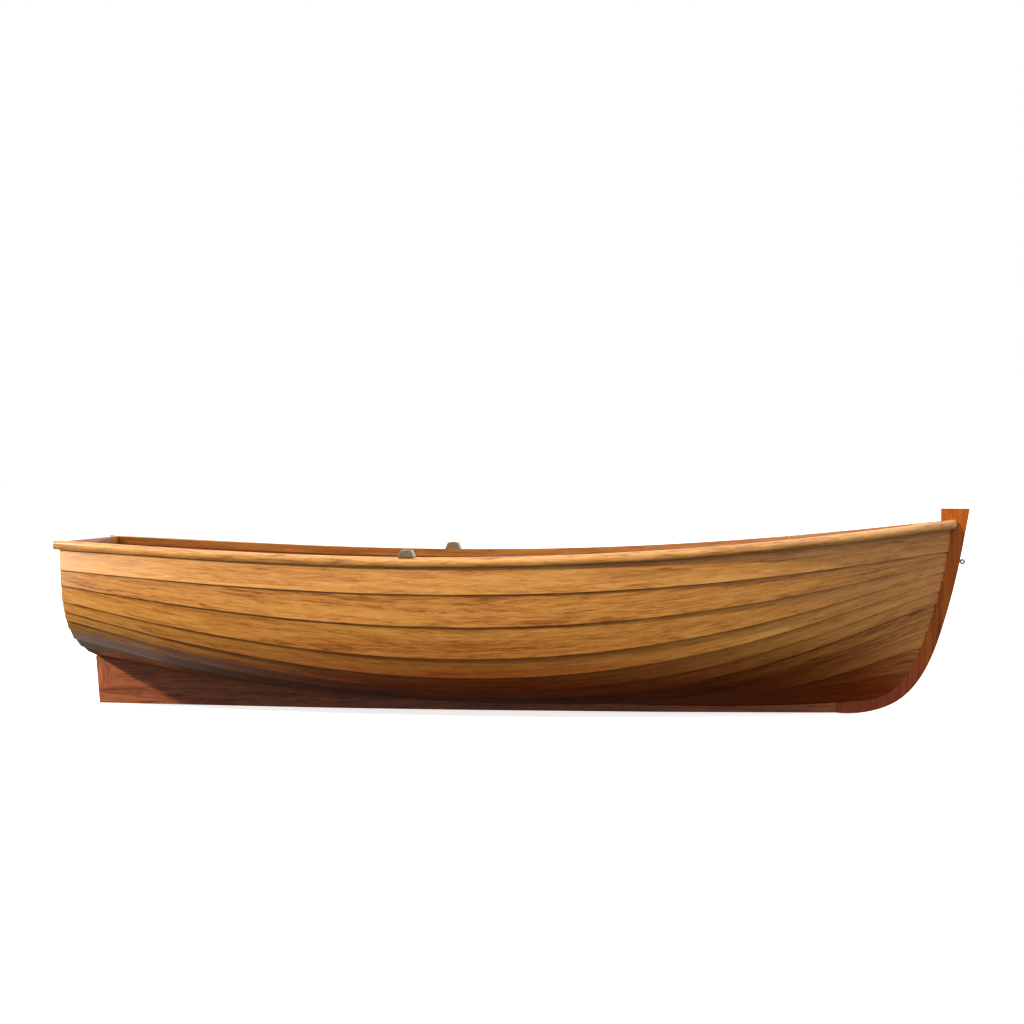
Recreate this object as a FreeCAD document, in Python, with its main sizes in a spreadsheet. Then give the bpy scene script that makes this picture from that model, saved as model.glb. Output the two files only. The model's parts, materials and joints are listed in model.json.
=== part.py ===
import FreeCAD, Part

import math
import os

import Sketcher
from FreeCAD import Vector

# A 12 ft clinker-built sailing dinghy, hull only, without its rig and rudder.
# +X points to the bow, +Y to port and +Z up.  The origin is on the centreline amidships,
# in the plane of the waterline.  Lengths are in millimetres, and heights in the sheet are
# measured up from the underside of the keel amidships.

doc = FreeCAD.newDocument("dinghy")
sheet = doc.addObject("Spreadsheet::Sheet", "dims")
size = {}
nodes = []


def enter_dimensions(rows):
    """Write each driving dimension once, as a number with a name."""
    for row, (alias, value, note) in enumerate(rows, start=1):
        sheet.set(f"A{row}", note)
        sheet.set(f"B{row}", str(value))
        sheet.setAlias(f"B{row}", alias)
        size[alias] = value


enter_dimensions([
    ("waterline", 128, "height of the light waterline above the keel's underside"),
    # the moulded surface is a Bezier net: five control rows from the transom to the stem
    ("transom_heel_x", -1791, "transom, where it meets the sternpost"),
    ("transom_heel_z", 220, "height of that point"),
    ("transom_rake", 4.9, "rake of the transom and sternpost, degrees"),
    ("stern_floor_y", 440, "stern control row: floor"),
    ("stern_floor_z", 287, "stern control row: floor height"),
    ("stern_bilge_y", 622, "stern control row: bilge"),
    ("stern_bilge_z", 343, "stern control row: bilge height"),
    ("stern_sheer_y", 485, "stern control row: sheer"),
    ("stern_sheer_z", 697, "stern control row: sheer height"),
    ("quarter_x", -872, "quarter control row: station"),
    ("quarter_rabbet_z", 62, "quarter control row: rabbet height"),
    ("quarter_floor_y", 600, "quarter control row: floor"),
    ("quarter_floor_z", 15, "quarter control row: floor height"),
    ("quarter_bilge_y", 722, "quarter control row: bilge"),
    ("quarter_bilge_z", 338, "quarter control row: bilge height"),
    ("quarter_sheer_y", 736, "quarter control row: sheer"),
    ("quarter_sheer_z", 655, "quarter control row: sheer height"),
    ("middle_x", 0, "middle control row: station"),
    ("middle_rabbet_z", 56, "middle control row: rabbet height"),
    ("middle_floor_y", 655, "middle control row: floor"),
    ("middle_floor_z", -150, "middle control row: floor height"),
    ("middle_bilge_y", 725, "middle control row: bilge"),
    ("middle_bilge_z", 18, "middle control row: bilge height"),
    ("middle_sheer_y", 695, "middle control row: sheer"),
    ("middle_sheer_z", 579, "middle control row: sheer height"),
    ("shoulder_rabbet_x", 771, "shoulder control row: station at the rabbet"),
    ("shoulder_sheer_x", 1130, "shoulder control row: station at the sheer"),
    ("shoulder_rabbet_z", 1, "shoulder control row: rabbet height"),
    ("shoulder_floor_y", 545, "shoulder control row: floor"),
    ("shoulder_floor_z", 335, "shoulder control row: floor height"),
    ("shoulder_bilge_y", 735, "shoulder control row: bilge"),
    ("shoulder_bilge_z", -43, "shoulder control row: bilge height"),
    ("shoulder_sheer_y", 803, "shoulder control row: sheer"),
    ("shoulder_sheer_z", 713, "shoulder control row: sheer height"),
    ("forefoot_x", 1455, "rabbet on the stem: foot"),
    ("forefoot_z", 68, "rabbet on the stem: height of its foot"),
    ("rabbet_low_x", 1622, "rabbet on the stem: lower control point"),
    ("rabbet_low_z", 101, "rabbet on the stem: lower control height"),
    ("rabbet_high_x", 1730, "rabbet on the stem: upper control point"),
    ("rabbet_high_z", 511, "rabbet on the stem: upper control height"),
    ("rabbet_head_x", 1757, "rabbet on the stem: head"),
    ("rabbet_head_z", 797, "rabbet on the stem: height of its head"),
    # planking
    ("rabbet_half", 18, "half width between the garboards' lower edges"),
    ("plank", 9, "thickness of a plank"),
    ("lap", 20, "width of the lap between two planks"),
    ("bedding", 0.25, "film of bedding compound between touching pieces"),
    # backbone
    ("keel_half", 28.5, "half width of the keel, skeg and stem"),
    ("keel_depth", 66, "depth of the keel timber at its after end"),
    ("rocker", 13.4, "rise of the keel's underside at the ends"),
    ("half_length", 1830, "half of the hull's length"),
    ("heel_x", -1773, "after end of the keel"),
    ("sternpost_width", 58, "fore-and-aft width of the sternpost"),
    ("skeg_front_x", -330, "where the keel's top meets the garboards"),
    ("skeg_tip", 90, "how far the deadwood stops short of that point"),
    ("stem_foot_x", 1290, "joint between keel and stem"),
    ("stem_face_x", 1829, "foremost point of the stem"),
    ("stem_head_z", 842, "top of the stem"),
    ("stem_head_width", 117, "fore-and-aft width of the stem's head"),
    ("stem_shoulder", 1, "height of the stem's shoulder above the rail"),
    ("stem_heel_drop", 7, "drop of the stem head's heel below the sheer, between the planks"),
    ("stem_heel_gap", 14, "length of the stem's shoulder forward of that heel"),
    ("apron_depth", 62, "depth of the apron at its head"),
    ("apron_foot", 22, "depth of the apron at its foot"),
    ("apron_half", 60, "half width of the timber the apron is cut from"),
    ("hog_front_x", 1400, "forward end of the hog"),
    ("hog_half", 52, "half width of the hog"),
    ("hog_thickness", 17, "thickness of the hog"),
    ("transom_thickness", 22, "thickness of the transom"),
    # timbers and rails
    ("timber_width", 17, "width of a steamed timber"),
    ("timber_thickness", 9, "thickness of a steamed timber"),
    ("timber_gap", 2.6, "gap between a timber and the laps it spans"),
    ("timber_space", 155, "spacing of the timbers"),
    ("timber_count", 20, "number of pairs of timbers"),
    ("timber_first_x", -1600, "station of the aftermost timber"),
    ("outwale_depth", 38, "depth of the outwale"),
    ("outwale_width", 26, "width of the outwale"),
    ("outwale_overhang", 18, "how far the outwale runs past the transom"),
    ("outwale_round", 9, "how far the outwale's face is rounded out"),
    ("outwale_stem_gap", 2.5, "the outwale stops this short of the stem"),
    ("inwale_depth", 34, "depth of the inwale"),
    ("inwale_width", 20, "width of the inwale"),
    ("rising_drop", 216, "top of the rising below the sheer"),
    ("rising_depth", 34, "depth of the rising"),
    ("rising_width", 14, "width of the rising"),
    # thwarts
    ("thwart_thickness", 20, "thickness of a thwart"),
    ("thwart_end_gap", 4, "gap between a thwart's end and the timbers' faces"),
    ("centre_thwart_x", 20, "middle of the centre thwart"),
    ("centre_thwart_width", 210, "fore-and-aft width of the centre thwart"),
    ("mast_thwart_x", 1125, "middle of the mast thwart"),
    ("mast_thwart_width", 190, "fore-and-aft width of the mast thwart"),
    ("mast_radius", 33, "radius of the mast's hole in the thwart"),
    ("stern_bench_x", -1640, "after edge of the stern bench"),
    ("bench_slat", 74, "width of one slat of the stern bench"),
    ("bench_slat_gap", 9, "gap between two slats"),
    ("bench_slat_count", 6, "number of slats"),
    ("bench_thickness", 15, "thickness of a slat"),
    ("knee_thickness", 20, "thickness of a thwart knee"),
    ("knee_foot", 120, "length of a thwart knee's foot along the thwart"),
    ("knee_throat", 34, "depth of a thwart knee at its head"),
    ("knee_bend_y", 18, "a thwart knee's inner curve: how near its bend comes to the planks"),
    ("knee_bend_z", 16, "the same bend's height above the thwart"),
    ("knee_toe", 10, "thickness of a thwart knee at its toe"),
    ("knee_inset", 25, "from a thwart's edge to the middle of a knee"),
    # centreboard and its case
    ("board_thickness", 5, "thickness of the steel centreboard"),
    ("board_clearance", 5, "clearance around the centreboard"),
    ("board_pivot_x", 640, "station of the pivot"),
    ("board_pivot_z", 112, "height of the pivot"),
    ("board_nose", 46, "radius of the board's nose about its pivot"),
    ("board_length", 800, "from the pivot to the board's after edge"),
    ("board_headroom", 16, "gap between the housed board and the case's cap"),
    ("board_foot_z", 14, "underside of the housed board"),
    ("case_side", 16, "thickness of the case's sides"),
    ("case_post", 34, "fore-and-aft width of the case's end posts"),
    ("case_cap", 14, "thickness of the case's cap"),
    ("case_cap_overhang", 8, "how far the cap stands out beyond the sides"),
    ("pivot_radius", 6, "radius of the pivot bolt"),
    ("pivot_clearance", 0.1, "radial clearance of the board on its bolt"),
    ("pivot_head", 7, "thickness of the pivot bolt's head and nut"),
    ("pivot_head_radius", 11.4, "radius of the bolt's head and nut"),
    # mast step, bottom boards
    ("step_length", 190, "length of the mast step"),
    ("step_half", 46, "half width of the mast step"),
    ("step_depth", 34, "depth of the mast step"),
    ("step_slot_length", 60, "length of the slot for the mast's tenon"),
    ("step_slot_half", 14, "half width of that slot"),
    ("boards_aft_x", -1000, "after end of the bottom boards"),
    ("boards_fore_x", 700, "forward end of the bottom boards"),
    ("boards_rise", 35, "height of the boards' outer edge above the rabbet"),
    ("boards_gap", 14, "gap between two bottom boards"),
    ("boards_thickness", 9, "thickness of a bottom board"),
    # knees at the ends
    ("hook_aft_x", 1590, "after edge of the breasthook"),
    ("hook_thickness", 25, "thickness of the breasthook and quarter knees"),
    ("hook_hollow", 40, "depth of the hollow in the breasthook's after edge"),
    ("quarter_knee_tip", 30, "width of a quarter knee at its ends"),
    ("quarter_knee_side", 180, "length of a quarter knee along the side"),
    ("quarter_knee_arm", 165, "length of a quarter knee along the transom"),
    # metalwork
    ("rowlock_x", -382, "station of the rowlocks"),
    ("rowlock_pad_length", 62, "length of a rowlock pad"),
    ("rowlock_pad_top", 42, "length of the pad's top"),
    ("rowlock_pad_height", 28, "height of a rowlock pad"),
    ("rowlock_floor", 9, "thickness left under a rowlock socket's bore"),
    ("rowlock_bore", 6.5, "radius of a rowlock socket's bore"),
    ("rowlock_socket", 12, "radius of a rowlock socket's flange"),
    ("rowlock_barrel", 9.5, "radius of a rowlock socket's barrel"),
    ("rowlock_flange", 3, "thickness of a rowlock socket's flange"),
    ("gudgeon_low_z", 318, "height of the lower gudgeon"),
    ("gudgeon_high_z", 588, "height of the upper gudgeon"),
    ("gudgeon_bore", 5, "radius of a gudgeon's bore"),
    ("gudgeon_eye", 10, "radius of a gudgeon's eye"),
    ("gudgeon_height", 22, "height of a gudgeon"),
    ("gudgeon_standoff", 24, "from the transom's face to the bore's axis"),
    ("gudgeon_plate", 3, "thickness of a gudgeon's plate"),
    ("gudgeon_plate_width", 90, "width of a gudgeon's plate"),
    ("bow_eye_z", 626, "height of the bow eye"),
    ("bow_eye_radius", 7.5, "mean radius of the bow eye's ring"),
    ("bow_eye_wire", 4, "radius of the bow eye's wire"),
    ("bow_eye_shank", 5, "radius of the bow eye's shank"),
    ("bow_eye_reach", 54, "how far the shank goes into the stem"),
])

# Plank widths as shares of the girth, from the sheer strake down to the garboard.
STRAKES_AT_STERN = (0.148, 0.073, 0.075, 0.048, 0.045, 0.062, 0.102, 0.136, 0.153, 0.158)
STRAKES_AMIDSHIPS = (0.137, 0.119, 0.120, 0.086, 0.080, 0.076, 0.086, 0.100, 0.098, 0.098)
STRAKES_AT_STEM = (0.162, 0.060, 0.041, 0.043, 0.055, 0.062, 0.069, 0.076, 0.088, 0.344)
STRAKE_COUNT = len(STRAKES_AMIDSHIPS)
# Stations of the planks' sections, closer together at the ends where the planks twist.
STATIONS = (0.0, 0.04, 0.1, 0.18, 0.26, 0.34, 0.42, 0.5, 0.58, 0.66, 0.74, 0.81, 0.87, 0.92, 0.955, 0.98, 1.0)
GIRTH_STEPS = 60          # how finely a section's girth is measured
GARBOARD_STEPS = 6        # the garboard bends across its width at the forefoot
GAIN_AFT = 0.1            # from the transom to here the laps come out of flush
GAIN_START = 0.93         # from here to the stem the laps run out flush
GAIN_FLUSH = 0.8          # how much of the lap's step is gone at the ends

rake_slope = math.tan(math.radians(size["transom_rake"]))
plank = size["plank"]
bedding = size["bedding"]


def put(x, y, z):
    """A point given by its height above the keel, in the part's own frame."""
    return Vector(x, y, z - size["waterline"])


def transom_x(z):
    """Station of the transom's after face at a height."""
    return size["transom_heel_x"] - (z - size["transom_heel_z"]) * rake_slope


def control_rows():
    """The moulded surface's control points, rabbet to sheer, from stern to stem."""
    half = size["rabbet_half"]
    rows = []
    stern = [(half, size["transom_heel_z"])]
    stern += [(size[f"stern_{part}_y"], size[f"stern_{part}_z"]) for part in ("floor", "bilge", "sheer")]
    rows.append([Vector(transom_x(z), y, z) for y, z in stern])
    for name in ("quarter", "middle", "shoulder"):
        outline = [(half, size[f"{name}_rabbet_z"])]
        outline += [(size[f"{name}_{part}_y"], size[f"{name}_{part}_z"]) for part in ("floor", "bilge", "sheer")]
        if name == "shoulder":
            first, last = size["shoulder_rabbet_x"], size["shoulder_sheer_x"]
        else:
            first = last = size[f"{name}_x"]
        step = (last - first) / 3
        rows.append([Vector(first + step * i, y, z) for i, (y, z) in enumerate(outline)])
    stem = [("forefoot_x", "forefoot_z"), ("rabbet_low_x", "rabbet_low_z")]
    stem += [("rabbet_high_x", "rabbet_high_z"), ("rabbet_head_x", "rabbet_head_z")]
    rows.append([Vector(size[x], half, size[z]) for x, z in stem])
    return rows


def bernstein(degree, t):
    return [math.comb(degree, i) * t ** i * (1 - t) ** (degree - i) for i in range(degree + 1)]


NET = control_rows()


def moulded(s, u):
    """Point of the moulded surface: s from transom to stem, u from rabbet to sheer."""
    point = Vector(0, 0, 0)
    for along, row in zip(bernstein(len(NET) - 1, s), NET):
        for across, corner in zip(bernstein(3, u), row):
            point += corner * (along * across)
    return point


def strake_shares(s):
    """Each strake's share of the girth at a station, from the garboard up."""
    shares = []
    for aft, mid, fore in zip(STRAKES_AT_STERN, STRAKES_AMIDSHIPS, STRAKES_AT_STEM):
        shares.append(2 * (s - 0.5) * (s - 1) * aft + 4 * s * (1 - s) * mid + 2 * s * (s - 0.5) * fore)
    total = sum(shares)
    return [share / total for share in reversed(shares)]


class Girth:
    """The moulded section at a station, measured along its length."""

    def __init__(self, s):
        self.points = [moulded(s, i / GIRTH_STEPS) for i in range(GIRTH_STEPS + 1)]
        self.run = [0.0]
        for before, after in zip(self.points, self.points[1:]):
            self.run.append(self.run[-1] + (after - before).Length)
        self.length = self.run[-1]

    def at(self, distance):
        """Point and outward normal, in the athwartships plane, at a distance from the rabbet."""
        distance = min(max(distance, 0.0), self.length)
        i = 0
        while i < GIRTH_STEPS - 1 and self.run[i + 1] < distance:
            i += 1
        before, after = self.points[i], self.points[i + 1]
        share = (distance - self.run[i]) / (self.run[i + 1] - self.run[i])
        low, high = self.points[max(i - 1, 0)], self.points[min(i + 2, GIRTH_STEPS)]
        rise, spread = high.z - low.z, high.y - low.y
        slope = math.hypot(rise, spread)
        return before + (after - before) * share, Vector(0, rise / slope, -spread / slope)


class Section:
    """Corners of all ten planks at one station, on the port side."""

    def __init__(self, s):
        self.s = s
        girth = Girth(s)
        gain = max(0.0, (s - GAIN_START) / (1 - GAIN_START), 1 - s / GAIN_AFT) * GAIN_FLUSH
        edges = [0.0]
        for share in strake_shares(s):
            edges.append(edges[-1] + share * girth.length)
        self.inner, self.outer, self.normal = [], [], []
        land_foot = land_head = None
        for k in range(STRAKE_COUNT):
            low = edges[k]
            high = edges[k + 1] + (size["lap"] if k < STRAKE_COUNT - 1 else 0.0)
            head, head_normal = girth.at(high)
            foot, foot_normal = girth.at(low)
            head_thickness = plank * (1 - gain) if k < STRAKE_COUNT - 1 else plank
            if k == 0:
                inner, outer = [], []
                for i in range(GARBOARD_STEPS + 1):
                    point, normal = girth.at(low + (high - low) * i / GARBOARD_STEPS)
                    thickness = plank if i < GARBOARD_STEPS else head_thickness
                    inner.append(point)
                    outer.append(point + normal * thickness)
            else:
                offset = (land_foot - foot).dot(foot_normal)
                foot_thickness = plank * (1 - gain) + gain * (plank * 1.1 - offset)
                outer_foot = land_foot + foot_normal * max(foot_thickness, plank * 0.4)
                share = (land_head - land_foot).Length / (head - land_foot).Length
                outer_head = head + head_normal * head_thickness
                inner = [land_foot + foot_normal * bedding, land_head + foot_normal * bedding, head]
                outer = [outer_foot, outer_foot + (outer_head - outer_foot) * share, outer_head]
            self.inner.append(inner)
            self.outer.append(outer)
            self.normal.append((foot_normal, head_normal))
            if k < STRAKE_COUNT - 1:
                land_head = outer[-1]
                land_foot = self.on_chain(outer, size["lap"])
        if s in (0.0, 1.0):
            self.trim_end()

    @staticmethod
    def on_chain(chain, distance):
        """Point of a chain at a distance back from its last corner."""
        left = distance
        for after, before in zip(reversed(chain), reversed(chain[:-1])):
            step = (before - after).Length
            if step >= left:
                return after + (before - after) * (left / step)
            left -= step
        return chain[0]

    def trim_end(self):
        """Cut the planks' ends to the transom's plane, or square to the stem's side."""
        for inner, outer in zip(self.inner, self.outer):
            for i in range(len(inner)):
                if self.s == 0.0:
                    inner[i] = Vector(transom_x(inner[i].z), inner[i].y, inner[i].z)
                    outer[i] = Vector(transom_x(outer[i].z), outer[i].y, outer[i].z)
                else:
                    outer[i] = Vector(inner[i].x, outer[i].y, inner[i].z)


sections = [Section(s) for s in STATIONS]


def port_or_starboard(point, side):
    return put(point.x, point.y * side, point.z)


def finish(feature, label):
    feature.Label = label
    nodes.append(feature)
    return feature


def set_shape(label, shape):
    """A sub-part whose shape follows the lofted hull."""
    feature = doc.addObject("Part::Feature", label)
    feature.Shape = shape
    feature.Placement = FreeCAD.Placement()
    return finish(feature, label)


def closed_wire(points):
    return Part.makePolygon(list(points) + [points[0]])


def quad(a, b, c, d):
    return Part.Face(closed_wire([a, b, c, d]))


def solid_from(faces):
    """A solid sewn from faces that close on each other."""
    shell = Part.Shell(faces)
    shell.sewShape()
    solid = Part.Solid(shell)
    if solid.Volume < 0:
        solid.reverse()
    if not solid.isValid():
        solid.fix(0.01, 0.01, 0.01)
    return solid


def plank_solid(k, side):
    """One strake: lofted faces along its length, closed at both ends."""
    loops = []
    for section in sections:
        inner = [port_or_starboard(p, side) for p in section.inner[k]]
        outer = [port_or_starboard(p, side) for p in section.outer[k]]
        loops.append(inner + outer[::-1])
    shell = Part.makeLoft([closed_wire(loop) for loop in loops], False, False)
    faces = list(shell.Faces)
    for loop in (loops[0], loops[-1]):
        count = len(loop) // 2
        for i in range(count - 1):
            faces.append(quad(loop[i], loop[i + 1], loop[-2 - i], loop[-1 - i]))
    return solid_from(faces)


def clear_of(shape, strake, outside):
    """A timber cut back to a pair of strakes, with a film of bedding between them."""
    film = 1.4 * bedding if outside else -1.4 * bedding
    for name, side in (("port", 1), ("starboard", -1)):
        board = doc.getObject(f"strake_{strake:02d}_{name}").Shape
        spaced_board = board.copy()
        spaced_board.translate(Vector(0, side * film, -film))
        shape = shape.cut(board).cut(spaced_board)
    return max(shape.Solids, key=lambda solid: solid.Volume)


def make_planking():
    for k in range(STRAKE_COUNT):
        for name, side in (("port", 1), ("starboard", -1)):
            set_shape(f"strake_{k + 1:02d}_{name}", plank_solid(k, side))


make_planking()


# ---- the hull's lines, read at any station -------------------------------------------

class Frame:
    """The moulded section in the athwartships plane at a station, on the port side."""

    STEPS = 24

    def __init__(self, x):
        self.x = x
        self.points = []
        for i in range(self.STEPS + 1):
            u = i / self.STEPS
            if moulded(1.0, u).x < x:
                continue
            low, high = -0.08, 1.0
            for _ in range(26):
                middle = (low + high) / 2
                if moulded(middle, u).x < x:
                    low = middle
                else:
                    high = middle
            point = moulded(low, u)
            self.points.append((point.y, point.z))

    def normal(self, i):
        (y0, z0), (y1, z1) = self.points[max(i - 1, 0)], self.points[min(i + 1, len(self.points) - 1)]
        length = math.hypot(y1 - y0, z1 - z0)
        return (z1 - z0) / length, -(y1 - y0) / length

    def inset(self, distance):
        """The section moved inwards, as (y, z) points from rabbet to sheer."""
        moved = []
        for i, (y, z) in enumerate(self.points):
            ny, nz = self.normal(i)
            moved.append((y - ny * distance, z - nz * distance))
        return moved

    def sheer(self):
        return self.points[-1][1]

    def rabbet(self):
        return self.points[0][1]


def across(points, value, axis):
    """Point of a chain of (y, z) where the given coordinate reaches a value."""
    other = 1 - axis
    for before, after in zip(points, points[1:]):
        if before[axis] <= value <= after[axis]:
            share = (value - before[axis]) / ((after[axis] - before[axis]) or 1.0)
            found = before[other] + (after[other] - before[other]) * share
            return (found, value) if axis == 1 else (value, found)
    end = points[-1] if value > points[-1][axis] else points[0]
    return (end[0], value) if axis == 1 else (value, end[1])


def keel_underside(x):
    return size["rocker"] * (x / size["half_length"]) ** 2


RABBET = [moulded(i / 80, 0.0) for i in range(81)]
GARBOARD_EDGE = [(section.outer[0][0].x, section.outer[0][0].z) for section in sections]


def along(chain, x):
    """Height of a chain of (x, z) at a station."""
    for (x0, z0), (x1, z1) in zip(chain, chain[1:]):
        if x0 <= x <= x1:
            return z0 + (z1 - z0) * (x - x0) / (x1 - x0)
    return chain[0][1] if x < chain[0][0] else chain[-1][1]


def rabbet_height(x):
    return along([(p.x, p.z) for p in RABBET], x)


def garboard_underside(x):
    return along(GARBOARD_EDGE, x) - bedding


def rising_top(x):
    return Frame(x).sheer() - size["rising_drop"]


def spaced(first, last, count):
    return [first + (last - first) * i / (count - 1) for i in range(count)]


def slab(outline, half, y_middle=0.0):
    """A timber sawn to an outline of (x, z) points and set upright on the centreline."""
    points = [put(x, y_middle - half, z) for x, z in outline]
    return Part.Face(closed_wire(points)).extrude(Vector(0, 2 * half, 0))


def joined(shapes):
    shape = shapes[0].fuse(shapes[1:]) if len(shapes) > 1 else shapes[0]
    return shape.removeSplitter()


def inside_of(offset, head_room):
    """The space inside the planking, moved inwards by an offset."""
    loops = []
    for section in sections:
        chain = []
        for k in range(STRAKE_COUNT):
            foot_normal, head_normal = section.normal[k]
            picked = section.inner[k] if k == 0 else section.inner[k][-1:]
            for i, point in enumerate(picked):
                blend = (i + 1) / len(picked)
                normal = foot_normal * (1 - blend) + head_normal * blend
                chain.append(point - normal * offset)
        chain = [Vector(p.x, max(p.y, 1.0), p.z) for p in chain]
        chain.append(chain[-1] + Vector(0, 0, head_room))
        if section.s == 0.0:
            shift = size["transom_thickness"] + offset
            chain = [Vector(transom_x(p.z) + shift, p.y, p.z) for p in chain]
        port = [port_or_starboard(p, 1) for p in chain]
        loops.append(port + [port_or_starboard(p, -1) for p in chain[::-1]])
    faces = list(Part.makeLoft([closed_wire(loop) for loop in loops], False, False).Faces)
    for loop in (loops[0], loops[-1]):
        for i in range(len(loop) // 2 - 1):
            faces.append(quad(loop[i], loop[i + 1], loop[-2 - i], loop[-1 - i]))
    return solid_from(faces)


inside_planks = doc.addObject("Part::Feature", "inside_planks")
inside_planks.Shape = inside_of(bedding, 60.0)
timber_inset = size["timber_gap"] + size["timber_thickness"]
inside_timbers = doc.addObject("Part::Feature", "inside_timbers")
inside_timbers.Shape = inside_of(timber_inset + size["thwart_end_gap"], 60.0)


# ---- backbone ------------------------------------------------------------------------

def board_geometry():
    """Heights and reach of the centreboard and its case, from the sheet."""
    thwart = rising_top(size["centre_thwart_x"]) + bedding
    case_top = thwart - size["case_cap"] - 2 * bedding
    board_top = case_top - size["board_headroom"]
    rise = board_top - size["board_pivot_z"]
    reach = math.hypot(size["board_length"], rise)
    slot_aft = size["board_pivot_x"] - reach - size["board_clearance"]
    slot_fore = size["board_pivot_x"] + size["board_nose"] + size["board_clearance"]
    return {"thwart": thwart, "case_top": case_top, "board_top": board_top,
            "slot_aft": slot_aft, "slot_fore": slot_fore}


board = board_geometry()
slot_half = size["board_thickness"] / 2 + size["board_clearance"]


def slot_cutter():
    low, high = -100.0, 400.0
    corners = [(board["slot_aft"], low), (board["slot_fore"], low)]
    corners += [(board["slot_fore"], high), (board["slot_aft"], high)]
    return slab(corners, slot_half)


def keel_top(x):
    """Top of the keel timber: straight under the deadwood, then along the garboards."""
    joint_x = size["skeg_front_x"]
    if x >= joint_x:
        return rabbet_height(x)
    aft = keel_underside(size["heel_x"]) + size["keel_depth"]
    share = (x - size["heel_x"]) / (joint_x - size["heel_x"])
    return aft + (rabbet_height(joint_x) - aft) * share


def make_keel():
    stations = spaced(size["heel_x"], size["stem_foot_x"] - bedding, 30)
    under = [(x, keel_underside(x)) for x in stations]
    aft_top = (transom_x(keel_top(stations[0])), keel_top(stations[0]))
    tops = [(x, keel_top(x)) for x in stations[1:]]
    shoulders = [(x, min(keel_top(x), garboard_underside(x))) for x in stations[1:]]
    tongue = slab(under + tops[::-1] + [aft_top], size["rabbet_half"] - bedding)
    body = slab(under + shoulders[::-1] + [aft_top], size["keel_half"])
    set_shape("keel", clear_of(joined([body, tongue]).cut(slot_cutter()), 1, True))


def make_deadwood():
    post = size["sternpost_width"]
    first = transom_x(keel_top(size["heel_x"])) + post + bedding
    stations = spaced(first, size["skeg_front_x"] - size["skeg_tip"], 20)
    under = [(x, keel_top(x) + bedding) for x in stations]
    tops = [(x, rabbet_height(x)) for x in stations]
    shoulders = [(x, max(garboard_underside(x), keel_top(x) + 2 * bedding)) for x in stations]
    aft = [(transom_x(tops[0][1]) + post + bedding, tops[0][1])]
    aft_low = [(transom_x(shoulders[0][1]) + post + bedding, shoulders[0][1])]
    tongue = slab(under + tops[:0:-1] + aft, size["rabbet_half"] - bedding)
    body = slab(under + shoulders[:0:-1] + aft_low, size["keel_half"])
    set_shape("deadwood", clear_of(joined([body, tongue]), 1, True))


def make_sternpost():
    post = size["sternpost_width"]
    foot = keel_top(size["heel_x"]) + bedding
    front_foot = keel_top(transom_x(foot) + post) + bedding

    def outline(height_at):
        aft, fore = height_at(transom_x(foot)), height_at(transom_x(foot) + post / 2)
        return [(transom_x(foot), foot), (transom_x(foot) + post, front_foot),
                (transom_x(fore) + post, fore), (transom_x(aft), aft)]

    tongue = slab(outline(lambda x: rabbet_height(x + 10) - bedding), size["rabbet_half"] - bedding)
    body = slab(outline(lambda x: garboard_underside(x + 10) - bedding), size["keel_half"])
    set_shape("sternpost", clear_of(joined([body, tongue]), 1, True))


# Points of the stem's face, from its joint with the keel up to its head, as (x, z).
STEM_FACE = ((1290, 6.7), (1444, 18), (1555, 68), (1625, 142), (1722, 363), (1780, 583), (1829, 842))


def curve_through(points, count):
    """Evenly spaced points along a smooth curve through the given (x, z) points."""
    spline = Part.BSplineCurve()
    spline.interpolate([Vector(x, 0, z) for x, z in points])
    first, last = spline.FirstParameter, spline.LastParameter
    found = [spline.value(first + (last - first) * i / (count - 1)) for i in range(count)]
    return [(p.x, p.z) for p in found]


def stem_rabbet(offset):
    """The rabbet line up the stem, moved forward by an offset."""
    points = [moulded(1.0, i / 24) for i in range(25)]
    return [(p.x + offset, p.z) for p in points]


def drilled_hole(x, y, z, radius, length, axis):
    """A cutter centred on a point given by its height above the keel."""
    centre = put(x, y, z)
    return Part.makeCylinder(radius, length, centre - axis * (length / 2), axis)


def make_stem():
    face = curve_through(STEM_FACE, 40)
    head_aft = size["stem_face_x"] - size["stem_head_width"]
    shoulder = size["rabbet_head_z"] + size["stem_shoulder"]
    heel_fore = size["rabbet_head_x"] - size["stem_heel_gap"]
    head = [(head_aft, size["stem_head_z"]),
            (head_aft, Frame(head_aft).sheer() - size["stem_heel_drop"]),
            (heel_fore, Frame(heel_fore).sheer() - size["stem_heel_drop"]),
            (heel_fore, Frame(heel_fore).sheer() + size["stem_shoulder"]),
            (size["rabbet_head_x"] + bedding, shoulder)]
    rabbet = stem_rabbet(bedding)[::-1]
    stations = spaced(size["forefoot_x"] - 5, size["stem_foot_x"] + bedding, 10)
    body_aft = [(x, garboard_underside(x)) for x in stations]
    tongue_aft = [(x, rabbet_height(x)) for x in stations]
    body = slab(face + head + rabbet + body_aft, size["keel_half"])
    tongue = slab([p for p in face if p[0] < size["forefoot_x"] + 20] + tongue_aft,
                  size["rabbet_half"] - bedding)
    eye = drilled_hole(1760, 0, size["bow_eye_z"], size["bow_eye_shank"] + bedding, 200, Vector(1, 0, 0))
    set_shape("stem", clear_of(joined([body, tongue]).cut(eye), 1, True))


def hook_underside():
    """The breasthook lies just below the rails where it starts."""
    return Frame(size["hook_aft_x"]).sheer() - size["hook_thickness"]


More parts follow.
